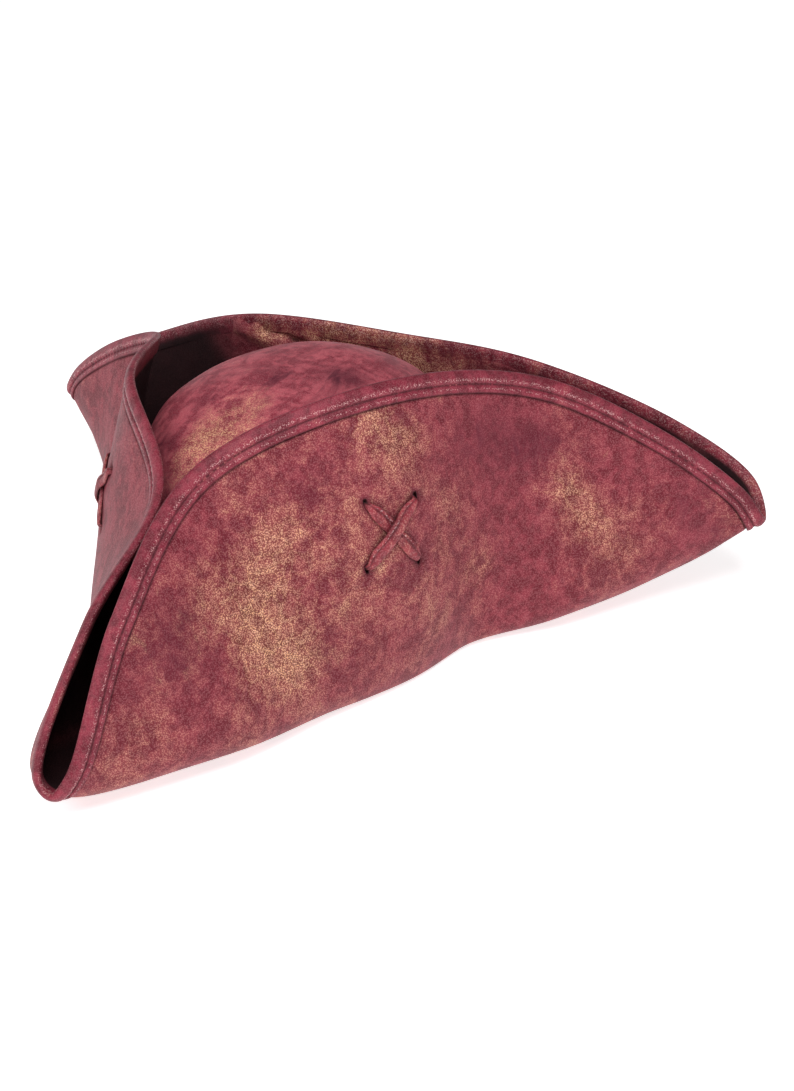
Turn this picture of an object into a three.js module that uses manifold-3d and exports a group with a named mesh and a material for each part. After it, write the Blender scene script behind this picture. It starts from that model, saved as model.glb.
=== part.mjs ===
// Leather tricorn hat. Millimetres, +Z up, front corner towards -Y, wearer's left towards +X.
// The origin is at the middle of the hat's outline from above, on the plane that the hat rests on.

import * as THREE from "three";
import { mergeVertices } from "three/addons/utils/BufferGeometryUtils.js";
import Module from "manifold-3d";

// Head opening and crown
const HEAD_HALF_WIDTH = 82;
const HEAD_HALF_DEPTH = 100;
const CROWN_HEIGHT = 134;
const CROWN_WALL = 2.5;

// Brim, turned up into three flaps that meet in a front and two side corners
const BRIM_WALL = 2.5;
const SEAT_WIDTH = 10;
const FRONT_REACH = 238;
const SIDE_REACH = 241;
const SIDE_BEARING = 116.3;
const FRONT_CORNER_RISE = 18.5;
const SIDE_CORNER_RISE = 48.5;
const LEFT_FLAP_RISE = 156;
const RIGHT_FLAP_RISE = 140;
const BACK_FLAP_RISE = 111;

// Edge binding, a strip folded over the rim
const BINDING_WIDTH = 8.5;
const BINDING_THICKNESS = 1;
const BINDING_CLEARANCE = 0.45;
const BINDING_FOLD_CLEARANCE = 0.8;

// Crossed laces, one cross on each front flap
const LACE_WIDTH = 7;
const LACE_END_WIDTH = 3.4;
const LACE_THICKNESS = 1.6;
const LACE_CROSS_WIDTH = 28;
const LACE_CROSS_HEIGHT = 32.5;
const LACE_CROSS_TILT = 10;
const LACE_TURN = 58.5;
const LACE_RISE_SHARE = 0.65;
const LACE_HOLE_DIAMETER = 5;
// A lace dives into its holes over its end stations, widens over more of them, and the upper lace
// rises over the lower one between two shares of its length
const LACE_DIVE_STATIONS = 2;
const LACE_TAPER_STATIONS = 7;
const LACE_BRIDGE_START_SHARE = 0.12;
const LACE_BRIDGE_TOP_SHARE = 0.36;
const LACE_FLAT_SHARE = 0.7;

// Clearances between pieces that touch: plain ones, and the laces over the curved flap
const GAP = 0.3;
const LACE_CLEARANCE = 0.75;

// Facets
const CROWN_SIDES = 40;
const LACE_STEPS = 20;
const HOLE_SIDES = 12;

// Half of the rim, from the front corner round the wearer's left to the middle of the back.
// turn is the row's bearing on the flat brim and bearing its bearing once turned up, in degrees.
// out is a share of the reach beyond the seat, lift a share of the rise from corner to flap top.
// knee and belly are shares of the straight line from seat to rim: how far the brim runs on flat
// before it turns up, and how far it swells outwards below the rim.
const RIM_ROWS = [
  { turn: 0, bearing: 0, out: 1, lift: 0, knee: 0.98, belly: 0.18 },
  { turn: 6, bearing: 1.7, out: 0.96, lift: 0.07, knee: 0.96, belly: 0.15 },
  { turn: 18, bearing: 2.3, out: 0.63, lift: 0.49, knee: 0.87, belly: 0.16 },
  { turn: 36, bearing: 4.5, out: 0.07, lift: 0.81, knee: 0.33, belly: 0.13 },
  { turn: 60, bearing: 50, out: -0.1, lift: 1, knee: 0.12, belly: 0.135 },
  { turn: 84, bearing: 111.8, out: 0.185, lift: 0.785, knee: 0.11, belly: 0.1 },
  { turn: 102, bearing: 115.5, out: 0.62, lift: 0.475, knee: 0.66, belly: 0.03 },
  { turn: 114, bearing: 116, out: 0.92, lift: 0.15, knee: 0.79, belly: 0.1 },
  { turn: 120, bearing: SIDE_BEARING, out: 1, lift: 0, knee: 0.63, belly: 0.115 },
  { turn: 126, bearing: 120.8, out: 0.98, lift: 0.22, knee: 0.46, belly: 0.09 },
  { turn: 138, bearing: 127.8, out: 0.75, lift: 0.57, knee: 0.36, belly: 0.085 },
  { turn: 156, bearing: 141.4, out: 0.255, lift: 1.045, knee: 0.3, belly: 0.085 },
  { turn: 180, bearing: 180, out: 0.09, lift: 0.99, knee: 0.28, belly: 0.08 },
];
const FRONT_ROWS = 5;
const SIDE_CORNER_ROW = 8;

// Rows beside the front corner on the wearer's right, where the flap swells less than on the left
const RIGHT_FRONT_ROWS = [
  { turn: 6, bearing: 2, out: 0.98, lift: 0.05, knee: 1.15, belly: 0.19 },
  { turn: 18, bearing: 2.3, out: 0.61, lift: 0.505, knee: 0.68, belly: 0.11 },
  { turn: 36, bearing: 4.7, out: 0.074, lift: 0.8, knee: 0.335, belly: 0.1 },
  { turn: 60, bearing: 49.6, out: -0.1, lift: 1, knee: 0.16, belly: 0.093 },
];

// Share of the straight line that the upper control of each row stays below the rim
const RIM_HOLD_SHARE = 0.35;

// Columns of facets in each stretch between two rows, for half of the rim
const STRETCH_STEPS = [7, 4, 3, 8, 5, 3, 4, 6, 6, 4, 3, 3];

// Facet rows up a flap, as shares of the way from the seat to the binding
const FLAP_STEPS = [0, 0.14, 0.28, 0.42, 0.54, 0.62, 0.7, 0.78, 0.88];

// Crown outline: girth is a share of the head's half sizes, rise a share of the crown's height
const CROWN_ROWS = [
  { rise: 0, girth: 1 },
  { rise: 0.2, girth: 1.018 },
  { rise: 0.45, girth: 1.012 },
  { rise: 0.66, girth: 0.96 },
  { rise: 0.82, girth: 0.84 },
  { rise: 0.92, girth: 0.635 },
  { rise: 0.98, girth: 0.36 },
  { rise: 1, girth: 0.1 },
];
const CROWN_RING_STEPS = 12;

const radians = THREE.MathUtils.degToRad;

// Leather finishes
const LEATHER = new THREE.MeshStandardMaterial({ color: 0x7a3540, roughness: 0.55, metalness: 0.15 });
const LACE_LEATHER = new THREE.MeshStandardMaterial({ color: 0x6b2c36, roughness: 0.5, metalness: 0.1 });

// Level direction at a bearing, clockwise from the front as seen from above
function heading(bearing) {
  return new THREE.Vector3(Math.sin(radians(bearing)), -Math.cos(radians(bearing)), 0);
}

// Radius of the crown's foot at a bearing
function headRadius(bearing) {
  const ahead = heading(bearing);
  return 1 / Math.hypot(ahead.x / HEAD_HALF_WIDTH, ahead.y / HEAD_HALF_DEPTH);
}

// Height of a row's rim, between its corner and the top of its flap
function rimHeight(row, index, flapRise) {
  const cornerRise = index < FRONT_ROWS ? FRONT_CORNER_RISE : SIDE_CORNER_RISE;
  return THREE.MathUtils.lerp(cornerRise, flapRise, row.lift);
}

// Rim point of a row; side is 1 on the wearer's left and -1 on the right
function rimPoint(row, index, side) {
  const frontFlapRise = side > 0 ? LEFT_FLAP_RISE : RIGHT_FLAP_RISE;
  const flapRise = index > SIDE_CORNER_ROW ? BACK_FLAP_RISE : frontFlapRise;
  const reach = index < FRONT_ROWS ? FRONT_REACH : SIDE_REACH;
  const seatRadius = headRadius(row.bearing) + SEAT_WIDTH;
  const radius = THREE.MathUtils.lerp(seatRadius, reach, row.out);
  const point = heading(row.bearing).multiplyScalar(radius);
  point.x *= side;
  point.z = rimHeight(row, index, flapRise);
  return point;
}

// All rows round the rim, the left half and then the right half back to the front
function wholeRim() {
  const left = RIM_ROWS.map((row, index) => ({ ...row, rim: rimPoint(row, index, 1) }));
  const right = [...RIGHT_FRONT_ROWS, ...RIM_ROWS.slice(FRONT_ROWS, -1)].map((row, index) => ({
    ...row,
    turn: 360 - row.turn,
    rim: rimPoint(row, index + 1, -1),
  }));
  return [...left, ...right.reverse()];
}

// Five closed guide curves: opening, foot, knee, shoulder and rim
function guideCurves(rows) {
  const names = ["opening", "foot", "knee", "shoulder", "rim"];
  const points = Object.fromEntries(names.map((name) => [name, []]));
  rows.forEach((row, index) => {
    const before = rows.at(index - 1).rim;
    const after = rows[(index + 1) % rows.length].rim;
    const outward = new THREE.Vector3(after.y - before.y, before.x - after.x, 0).normalize();
    const ahead = heading(row.turn);
    const level = new THREE.Vector3(0, 0, BRIM_WALL / 2);
    const foot = ahead.clone().multiplyScalar(headRadius(row.turn) + SEAT_WIDTH).add(level);
    const chord = row.rim.clone().sub(foot);
    const length = chord.length();
    points.opening.push(ahead.clone().multiplyScalar(headRadius(row.turn) - CROWN_WALL).add(level));
    points.foot.push(foot);
    points.knee.push(foot.clone().addScaledVector(ahead, row.knee * length));
    points.shoulder.push(
      row.rim.clone().addScaledVector(chord, -RIM_HOLD_SHARE).addScaledVector(outward, row.belly * length),
    );
    points.rim.push(row.rim);
  });
  return names.map((name) => new THREE.CatmullRomCurve3(points[name], true, "centripetal"));
}

const [OPENING, FOOT, KNEE, SHOULDER, RIM] = guideCurves(wholeRim());

// Point on the middle of the brim: round goes once about the hat, up from the seat to the rim
function brimPoint(round, up) {
  const down = 1 - up;
  return new THREE.Vector3()
    .addScaledVector(FOOT.getPoint(round), down ** 3)
    .addScaledVector(KNEE.getPoint(round), 3 * down ** 2 * up)
    .addScaledVector(SHOULDER.getPoint(round), 3 * down * up ** 2)
    .addScaledVector(RIM.getPoint(round), up ** 3);
}

// Unit frame of the brim: along the rim, up the flap, and out of the outer face
const PROBE = 0.0005;
function brimFrame(round, up) {
  const along = brimPoint((round + PROBE) % 1, up).sub(brimPoint((round - PROBE + 1) % 1, up));
  const rise = brimPoint(round, up + PROBE).sub(brimPoint(round, up - PROBE));
  const alongRate = along.length() / (2 * PROBE);
  const riseRate = rise.length() / (2 * PROBE);
  along.normalize();
  rise.normalize();
  const out = new THREE.Vector3().crossVectors(along, rise).normalize();
  return { along, rise, out, alongRate, riseRate };
}

// Share of the way up the flap at a length back from the rim, measured square to the rim
function upAtBack(round, back) {
  const { rise, riseRate, outOfRim } = rimFrame(round);
  return 1 - back / (riseRate * rise.dot(outOfRim));
}

// Frame of the brim at the rim, with the direction that leaves the rim square to it
function rimFrame(round) {
  const frame = brimFrame(round, 1);
  return { ...frame, outOfRim: new THREE.Vector3().crossVectors(frame.out, frame.along).normalize() };
}

// Place that lies back from the rim by a length, and out of the brim's middle by another
function nearRim(round, back, out) {
  const up = upAtBack(round, Math.max(back, 0));
  return brimPoint(round, up)
    .addScaledVector(brimFrame(round, up).out, out)
    .addScaledVector(rimFrame(round).outOfRim, Math.max(-back, 0));
}

// Columns round the whole rim, closer together near the corners
function roundColumns() {
  const steps = [...STRETCH_STEPS, ...STRETCH_STEPS.toReversed()];
  return steps.flatMap((count, stretch) =>
    Array.from({ length: count }, (_, step) => (stretch + step / count) / steps.length));
}

const COLUMNS = roundColumns();

// Closed ring solid from one loop of points per column
function ringGeometry(loops) {
  const size = loops[0].length;
  const positions = loops.flat().flatMap((point) => point.toArray());
  const faces = [];
  loops.forEach((_, column) => {
    const next = (column + 1) % loops.length;
    for (let i = 0; i < size; i += 1) {
      const j = (i + 1) % size;
      const [a, b] = [column * size + i, column * size + j];
      const [c, d] = [next * size + i, next * size + j];
      faces.push(a, c, b, b, c, d);
    }
  });
  return indexedGeometry(positions, faces);
}

// Indexed geometry from plain lists
function indexedGeometry(positions, faces) {
  const geometry = new THREE.BufferGeometry();
  geometry.setAttribute("position", new THREE.Float32BufferAttribute(positions, 3));
  geometry.setIndex(faces);
  geometry.computeVertexNormals();
  return geometry;
}

// Lengths back from the rim of the facet rows under the binding
const BAND_BACKS = [BINDING_WIDTH, BINDING_WIDTH / 2, 0];

// Section of the brim at a column: up its outer face from the opening, and down its inner face
function brimLoop(round) {
  const half = BRIM_WALL / 2;
  const bindingFoot = upAtBack(round, BINDING_WIDTH);
  const skin = (out) => [
    OPENING.getPoint(round).add(new THREE.Vector3(0, 0, -out)),
    ...FLAP_STEPS.map((share) => flapPoint(round, share * bindingFoot, out)),
    ...BAND_BACKS.map((back) => nearRim(round, back, out)),
  ];
  return [...skin(half), ...skin(-half).reverse()];
}

// Point on a face of the flap; at the seat the brim is level, so its outer face looks down
function flapPoint(round, up, out) {
  if (up === 0) {
    return FOOT.getPoint(round).add(new THREE.Vector3(0, 0, -out));
  }
  return brimPoint(round, up).addScaledVector(brimFrame(round, up).out, out);
}

// Section of the binding at a column: a channel that stands off the brim's rim on all sides
function bindingLoop(round) {
  const inner = BRIM_WALL / 2 + BINDING_CLEARANCE;
  const outer = inner + BINDING_THICKNESS;
  const crest = BINDING_FOLD_CLEARANCE + BINDING_THICKNESS;
  const outerSkin = BAND_BACKS.map((back) => [back, outer]);
  const innerSkin = [...BAND_BACKS.slice(0, -1), -BINDING_FOLD_CLEARANCE].map((back) => [back, inner]);
  const mirrored = (skin) => skin.map(([back, out]) => [back, -out]).reverse();
  const section = [
    ...outerSkin,
    [-crest, outer / 2],
    [-crest, -outer / 2],
    ...mirrored(outerSkin),
    ...mirrored(innerSkin).reverse(),
    ...innerSkin.toReversed(),
  ];
  return section.map(([back, out]) => nearRim(round, back, out));
}

// Places of the four holes of a cross about its middle, as fractions round and up the flap
function crossHoles(turn) {
  const rows = wholeRim();
  const after = rows.findIndex((row) => row.turn > turn);
  const [low, high] = [rows[after - 1].turn, rows[after].turn];
  const round = (after - 1 + (turn - low) / (high - low)) / rows.length;
  const { alongRate, riseRate } = brimFrame(round, LACE_RISE_SHARE);
  const tilt = radians(turn < 180 ? LACE_CROSS_TILT : -LACE_CROSS_TILT);
  const corner = (across, upward) => {
    const [x, y] = [across * LACE_CROSS_WIDTH / 2, upward * LACE_CROSS_HEIGHT / 2];
    return {
      round: round + (x * Math.cos(tilt) + y * Math.sin(tilt)) / alongRate,
      up: LACE_RISE_SHARE + (y * Math.cos(tilt) - x * Math.sin(tilt)) / riseRate,
    };
  };
  return {
    rising: [corner(-1, -1), corner(1, 1)],
    falling: [corner(-1, 1), corner(1, -1)],
  };
}

// Centre line of a lace: out of one hole, along the outer face, and down the other hole
function laceStations([start, end], lift) {
  const sink = BRIM_WALL / 2 + LACE_THICKNESS;
  const rest = BRIM_WALL / 2 + LACE_CLEARANCE + LACE_THICKNESS / 2;
  return Array.from({ length: LACE_STEPS + 1 }, (_, step) => {
    const share = step / LACE_STEPS;
    const place = THREE.MathUtils.smoothstep(share, 0, 1);
    const round = THREE.MathUtils.lerp(start.round, end.round, place);
    const up = THREE.MathUtils.lerp(start.up, end.up, place);
    const fromEnd = Math.min(share, 1 - share) * LACE_STEPS;
    const height = THREE.MathUtils.lerp(-sink, rest, Math.min(fromEnd / LACE_DIVE_STATIONS, 1));
    const bridge = THREE.MathUtils.smoothstep(
      Math.min(place, 1 - place), LACE_BRIDGE_START_SHARE, LACE_BRIDGE_TOP_SHARE);
    const widening = Math.min(fromEnd / LACE_TAPER_STATIONS, 1);
    const width = THREE.MathUtils.lerp(LACE_END_WIDTH, LACE_WIDTH, widening);
    return { round, up, height: height + lift * bridge, width };
  });
}

// Flat strap swept along its stations, with closed ends
function laceGeometry(holes, lift) {
  const stations = laceStations(holes, lift);
  const centres = stations.map(({ round, up, height }) =>
    brimPoint(round, up).addScaledVector(brimFrame(round, up).out, height));
  const chord = centres.at(-1).clone().sub(centres[0]);
  const positions = [];
  stations.forEach(({ round, up, width }, index) => {
    const across = new THREE.Vector3().crossVectors(brimFrame(round, up).out, chord).normalize();
    const before = centres[Math.max(index - 1, 0)];
    const after = centres[Math.min(index + 1, centres.length - 1)];
    const tangent = after.clone().sub(before).normalize();
    const outward = new THREE.Vector3().crossVectors(tangent, across).normalize();
    const half = LACE_THICKNESS / 2;
    for (const [side, top] of LACE_SECTION) {
      const point = centres[index].clone()
        .addScaledVector(across, side * width / 2)
        .addScaledVector(outward, top * half);
      positions.push(...point.toArray());
    }
  });
  return sweptGeometry(positions, LACE_SECTION.length, stations.length);
}

// Corners of a lace's section, as shares of its half width and half thickness
const LACE_SECTION = [
  [1, 0], [LACE_FLAT_SHARE, 1], [-LACE_FLAT_SHARE, 1],
  [-1, 0], [-LACE_FLAT_SHARE, -1], [LACE_FLAT_SHARE, -1],
];

// Closed solid from a run of sections, with a fan over each end
function sweptGeometry(positions, size, count) {
  const faces = [];
  for (let station = 0; station < count - 1; station += 1) {
    for (let i = 0; i < size; i += 1) {
      const j = (i + 1) % size;
      const [a, b] = [station * size + i, station * size + j];
      const [c, d] = [a + size, b + size];
      faces.push(a, b, c, b, d, c);
    }
  }
  const last = (count - 1) * size;
  for (let i = 1; i < size - 1; i += 1) {
    faces.push(0, i + 1, i, last, last + i, last + i + 1);
  }
  return indexedGeometry(positions, faces);
}

// Round punch through the flap at a lace hole, long enough to pass both faces
const PUNCH_WALL_COUNT = 3;
function holePunch({ round, up }) {
  const depth = BRIM_WALL * PUNCH_WALL_COUNT;
  const punch = new THREE.CylinderGeometry(LACE_HOLE_DIAMETER / 2, LACE_HOLE_DIAMETER / 2, depth, HOLE_SIDES);
  const turn = new THREE.Quaternion().setFromUnitVectors(
    new THREE.Vector3(0, 1, 0), brimFrame(round, up).out);
  const place = brimPoint(round, up);
  return punch.applyMatrix4(new THREE.Matrix4().compose(place, turn, new THREE.Vector3(1, 1, 1)));
}

// Crown outline through its rows, from the foot to the edge of the flat top
function crownOutline() {
  const points = CROWN_ROWS.map(({ rise, girth }) => new THREE.Vector3(girth, rise, 0));
  const curve = new THREE.CatmullRomCurve3(points, false, "centripetal");
  return Array.from({ length: CROWN_RING_STEPS + 1 }, (_, step) => curve.getPoint(step / CROWN_RING_STEPS));
}

// Crown shell, open below: the outer dome, and the inner dome one wall inside it
function crownGeometry() {
  const foot = BRIM_WALL + GAP;
  const outline = crownOutline();
  const dome = (inset) => outline.flatMap(({ x: girth, y: rise }) =>
    Array.from({ length: CROWN_SIDES }, (_, side) => {
      const ahead = heading(side * 360 / CROWN_SIDES);
      const point = new THREE.Vector3(
        ahead.x * (HEAD_HALF_WIDTH * girth - inset),
        ahead.y * (HEAD_HALF_DEPTH * girth - inset),
        foot + rise * (CROWN_HEIGHT - inset));
      return point;
    }));
  const outer = dome(0);
  const inner = dome(CROWN_WALL);
  const tops = [CROWN_HEIGHT, CROWN_HEIGHT - CROWN_WALL].map((height) => new THREE.Vector3(0, 0, foot + height));
  const positions = [...outer, ...inner, ...tops].flatMap((point) => point.toArray());
  return indexedGeometry(positions, crownFaces(outline.length));
}

// Faces of the two domes, their tops and the ring that joins them at the foot
function crownFaces(rings) {
  const faces = [];
  const innerStart = rings * CROWN_SIDES;
  const outerTop = 2 * innerStart;
  const innerTop = outerTop + 1;
  for (let side = 0; side < CROWN_SIDES; side += 1) {
    const next = (side + 1) % CROWN_SIDES;
    for (let ring = 0; ring < rings - 1; ring += 1) {
      const [a, b] = [ring * CROWN_SIDES + side, ring * CROWN_SIDES + next];
      const [c, d] = [a + CROWN_SIDES, b + CROWN_SIDES];
      faces.push(a, b, c, b, d, c);
      faces.push(innerStart + a, innerStart + c, innerStart + b);
      faces.push(innerStart + b, innerStart + c, innerStart + d);
    }
    const edge = (rings - 1) * CROWN_SIDES;
    faces.push(edge + side, edge + next, outerTop);
    faces.push(innerStart + edge + next, innerStart + edge + side, innerTop);
    faces.push(side, innerStart + side, next, next, innerStart + side, innerStart + next);
  }
  return faces;
}

// Closed mesh to solid and back
const manifold = await Module();
manifold.setup();

function toSolid(geometry) {
  const bare = geometry.clone();
  bare.deleteAttribute("normal");
  bare.deleteAttribute("uv");
  const merged = mergeVertices(bare);
  return new manifold.Manifold(new manifold.Mesh({
    numProp: 3,
    vertProperties: new Float32Array(merged.getAttribute("position").array),
    triVerts: new Uint32Array(merged.getIndex().array),
  }));
}

function toGeometry(solid) {
  const mesh = solid.getMesh();
  return indexedGeometry([...mesh.vertProperties], [...mesh.triVerts]);
}

// Brim with the lace holes punched through both front flaps
function brimGeometry(crosses) {
  const holes = crosses.flatMap(({ rising, falling }) => [...rising, ...falling]);
  const punched = holes.reduce(
    (solid, hole) => solid.subtract(toSolid(holePunch(hole))),
    toSolid(ringGeometry(COLUMNS.map(brimLoop))));
  return toGeometry(punched);
}

// Named mesh of the hat
function piece(name, geometry, material) {
  const mesh = new THREE.Mesh(geometry, material.clone());
  mesh.name = name;
  return mesh;
}

const leftCross = crossHoles(LACE_TURN);
const rightCross = crossHoles(360 - LACE_TURN);
const bridgeLift = LACE_THICKNESS + GAP;

const hat = new THREE.Group();
hat.add(piece("crown", crownGeometry(), LEATHER));
hat.add(piece("brim", brimGeometry([leftCross, rightCross]), LEATHER));
hat.add(piece("edge_binding", ringGeometry(COLUMNS.map(bindingLoop)), LEATHER));
for (const [name, cross] of [["left", leftCross], ["right", rightCross]]) {
  hat.add(piece(`lace_${name}_under`, laceGeometry(cross.falling, 0), LACE_LEATHER));
  hat.add(piece(`lace_${name}_over`, laceGeometry(cross.rising, bridgeLift), LACE_LEATHER));
}

// The rows are laid out about the head, so the whole hat moves until its outline is centred
const outline = new THREE.Box3().setFromObject(hat);
hat.position.y = -(outline.min.y + outline.max.y) / 2;

export default hat;
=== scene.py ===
"""Soft leather tricorn hat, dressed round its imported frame. Metres, +Z up, front corner towards -Y.

Shapes are worked out in millimetres about the middle of the head, as the solids are, and moved
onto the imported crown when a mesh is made.
"""

import logging
import math
from dataclasses import dataclass, field
from enum import Enum
from typing import Any, Callable, Optional, Sequence, Union

import bpy
import numpy as np
from mathutils import Matrix, Vector


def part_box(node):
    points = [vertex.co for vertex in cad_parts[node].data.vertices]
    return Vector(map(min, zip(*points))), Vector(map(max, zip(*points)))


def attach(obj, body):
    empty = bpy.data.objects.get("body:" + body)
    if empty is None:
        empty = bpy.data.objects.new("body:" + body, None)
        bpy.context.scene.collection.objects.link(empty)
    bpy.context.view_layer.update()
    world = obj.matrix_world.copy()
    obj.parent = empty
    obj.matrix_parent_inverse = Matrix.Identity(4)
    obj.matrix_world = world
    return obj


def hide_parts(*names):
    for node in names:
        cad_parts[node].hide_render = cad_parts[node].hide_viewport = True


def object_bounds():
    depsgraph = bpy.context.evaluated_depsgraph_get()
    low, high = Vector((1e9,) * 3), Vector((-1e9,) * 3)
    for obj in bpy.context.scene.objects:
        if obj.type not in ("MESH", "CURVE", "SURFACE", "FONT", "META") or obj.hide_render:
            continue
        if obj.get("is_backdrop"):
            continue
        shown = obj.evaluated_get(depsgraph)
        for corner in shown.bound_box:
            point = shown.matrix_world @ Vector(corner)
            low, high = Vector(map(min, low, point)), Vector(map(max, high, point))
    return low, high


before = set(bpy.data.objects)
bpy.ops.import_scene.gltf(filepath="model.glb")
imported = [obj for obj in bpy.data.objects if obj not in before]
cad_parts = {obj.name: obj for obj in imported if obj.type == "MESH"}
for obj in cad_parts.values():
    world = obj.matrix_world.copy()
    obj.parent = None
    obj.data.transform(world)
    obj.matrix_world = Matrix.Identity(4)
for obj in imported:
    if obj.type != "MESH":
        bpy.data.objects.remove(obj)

LOG = logging.getLogger("tricorn")
MM = 0.001
BODY = "root"
PHOTO_WIDTH, PHOTO_HEIGHT = 794, 1091
SENSOR = 36.0

Colour = tuple[float, float, float]
Place = tuple[float, float, float]
Pair = tuple[float, float]


class Face(Enum):
    """The two faces of the brim's leather."""

    OUTER = 1.0
    INNER = -1.0


class Side(Enum):
    """The wearer's two sides."""

    LEFT = 1.0
    RIGHT = -1.0


# Shapes

@dataclass(frozen=True)
class RimRow:
    """One row of the turned-up rim, as the solid's source names its columns."""

    turn: float
    bearing: float
    out: float
    lift: float
    knee: float
    belly: float


# Rows of the rim, the same as the solid's. A fit to the photograph's outlines solved their shares
RIM_ROWS = (
    RimRow(0, 0, 1, 0, 0.98, 0.18),
    RimRow(6, 1.7, 0.96, 0.07, 0.96, 0.15),
    RimRow(18, 2.3, 0.63, 0.49, 0.87, 0.16),
    RimRow(36, 4.5, 0.07, 0.81, 0.33, 0.13),
    RimRow(60, 50, -0.1, 1, 0.12, 0.135),
    RimRow(84, 111.8, 0.185, 0.785, 0.11, 0.1),
    RimRow(102, 115.5, 0.62, 0.475, 0.66, 0.03),
    RimRow(114, 116, 0.92, 0.15, 0.79, 0.1),
    RimRow(120, 116.3, 1, 0, 0.63, 0.115),
    RimRow(126, 120.8, 0.98, 0.22, 0.46, 0.09),
    RimRow(138, 127.8, 0.75, 0.57, 0.36, 0.085),
    RimRow(156, 141.4, 0.255, 1.045, 0.3, 0.085),
    RimRow(180, 180, 0.09, 0.99, 0.28, 0.08),
)
RIGHT_FRONT_ROWS = (
    RimRow(6, 2, 0.98, 0.05, 1.15, 0.19),
    RimRow(18, 2.3, 0.61, 0.505, 0.68, 0.11),
    RimRow(36, 4.7, 0.074, 0.8, 0.335, 0.1),
    RimRow(60, 49.6, -0.1, 1, 0.16, 0.093),
)


@dataclass(frozen=True)
class HatSizes:
    """Driving sizes of the hat in millimetres, the same as the solids' but for lace_aside.

    A fit to the photograph's outlines solved the side reach and the corner and flap rises too.
    """

    head_half_width: float = 82
    head_half_depth: float = 100
    crown_height: float = 134
    crown_wall: float = 2.5
    brim_wall: float = 2.5
    seat_width: float = 10
    front_reach: float = 238
    side_reach: float = 241
    front_corner_rise: float = 18.5
    side_corner_rise: float = 48.5
    left_flap_rise: float = 156
    right_flap_rise: float = 140
    back_flap_rise: float = 111
    rim_hold: float = 0.35
    front_rows: int = 5
    side_corner_row: int = 8
    gap: float = 0.3
    binding_width: float = 8.5
    lace_cross_width: float = 28
    lace_cross_height: float = 32.5
    lace_cross_tilt: float = 10
    lace_turn: float = 58.5
    lace_up: float = 0.65
    lace_aside: float = 2.8


SIZES = HatSizes()


def unit(vectors: np.ndarray) -> np.ndarray:
    """Returns the vectors at length one."""
    return vectors / np.maximum(np.linalg.norm(vectors, axis=-1, keepdims=True), 1e-12)


def smooth(value: np.ndarray, low: float, high: float) -> np.ndarray:
    """Returns 0 below low, 1 above high and a smooth step between."""
    share = np.clip((value - low) / (high - low), 0, 1)
    return share * share * (3 - 2 * share)


def bell(value: np.ndarray, middle: float, width: float) -> np.ndarray:
    """Returns a soft bump of height 1, by its middle and width."""
    return np.exp(-(((value - middle) / width) ** 2))


def heading(bearing: np.ndarray) -> np.ndarray:
    """Returns the level direction at a bearing in degrees, from the front round by the left side."""
    turn = np.radians(bearing)
    return np.stack([np.sin(turn), -np.cos(turn), 0 * turn], -1)


def head_radius(bearing: np.ndarray) -> np.ndarray:
    """Returns the radius of the crown's foot at a bearing in degrees."""
    ahead = heading(bearing)
    return 1 / np.hypot(ahead[..., 0] / SIZES.head_half_width, ahead[..., 1] / SIZES.head_half_depth)


class GuideCurve:
    """Centripetal Catmull-Rom curve through points, closed or open, with an even parameter."""

    def __init__(self, points: np.ndarray, closed: bool = True) -> None:
        """Args:
        points: The points that the curve passes, one row each.
        closed: Whether the curve runs on from the last point to the first.
        """
        self.closed = closed
        self.points = np.asarray(points, float)
        if closed:
            before, after = np.roll(self.points, 1, 0), np.roll(self.points, -1, 0)
            self.start, self.end = self.points, after
            far = np.roll(self.points, -2, 0)
        else:
            head = 2 * self.points[:1] - self.points[1:2]
            tail = 2 * self.points[-1:] - self.points[-2:-1]
            row = np.vstack([head, self.points, tail])
            before, self.start, self.end, far = row[:-3], row[1:-2], row[2:-1], row[3:]
        step = [np.sqrt(np.linalg.norm(b - a, axis=1))[:, None]
                for a, b in ((before, self.start), (self.start, self.end), (self.end, far))]
        ahead, behind = self.end - self.start, self.start - before
        beyond = far - self.end
        self.leave = (behind / step[0] - (self.end - before) / (step[0] + step[1])
                      + ahead / step[1]) * step[1]
        self.arrive = (ahead / step[1] - (far - self.start) / (step[1] + step[2])
                       + beyond / step[2]) * step[1]

    def at(self, share: np.ndarray) -> np.ndarray:
        """Returns the points at shares of the way along."""
        count = len(self.start)
        place = (np.asarray(share, float) % 1.0 if self.closed else np.clip(share, 0, 1)) * count
        index = np.minimum(place.astype(int), count - 1)
        f = (place - index)[..., None]
        return ((2 * f**3 - 3 * f**2 + 1) * self.start[index] + (f**3 - 2 * f**2 + f) * self.leave[index]
                + (3 * f**2 - 2 * f**3) * self.end[index] + (f**3 - f**2) * self.arrive[index])


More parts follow.
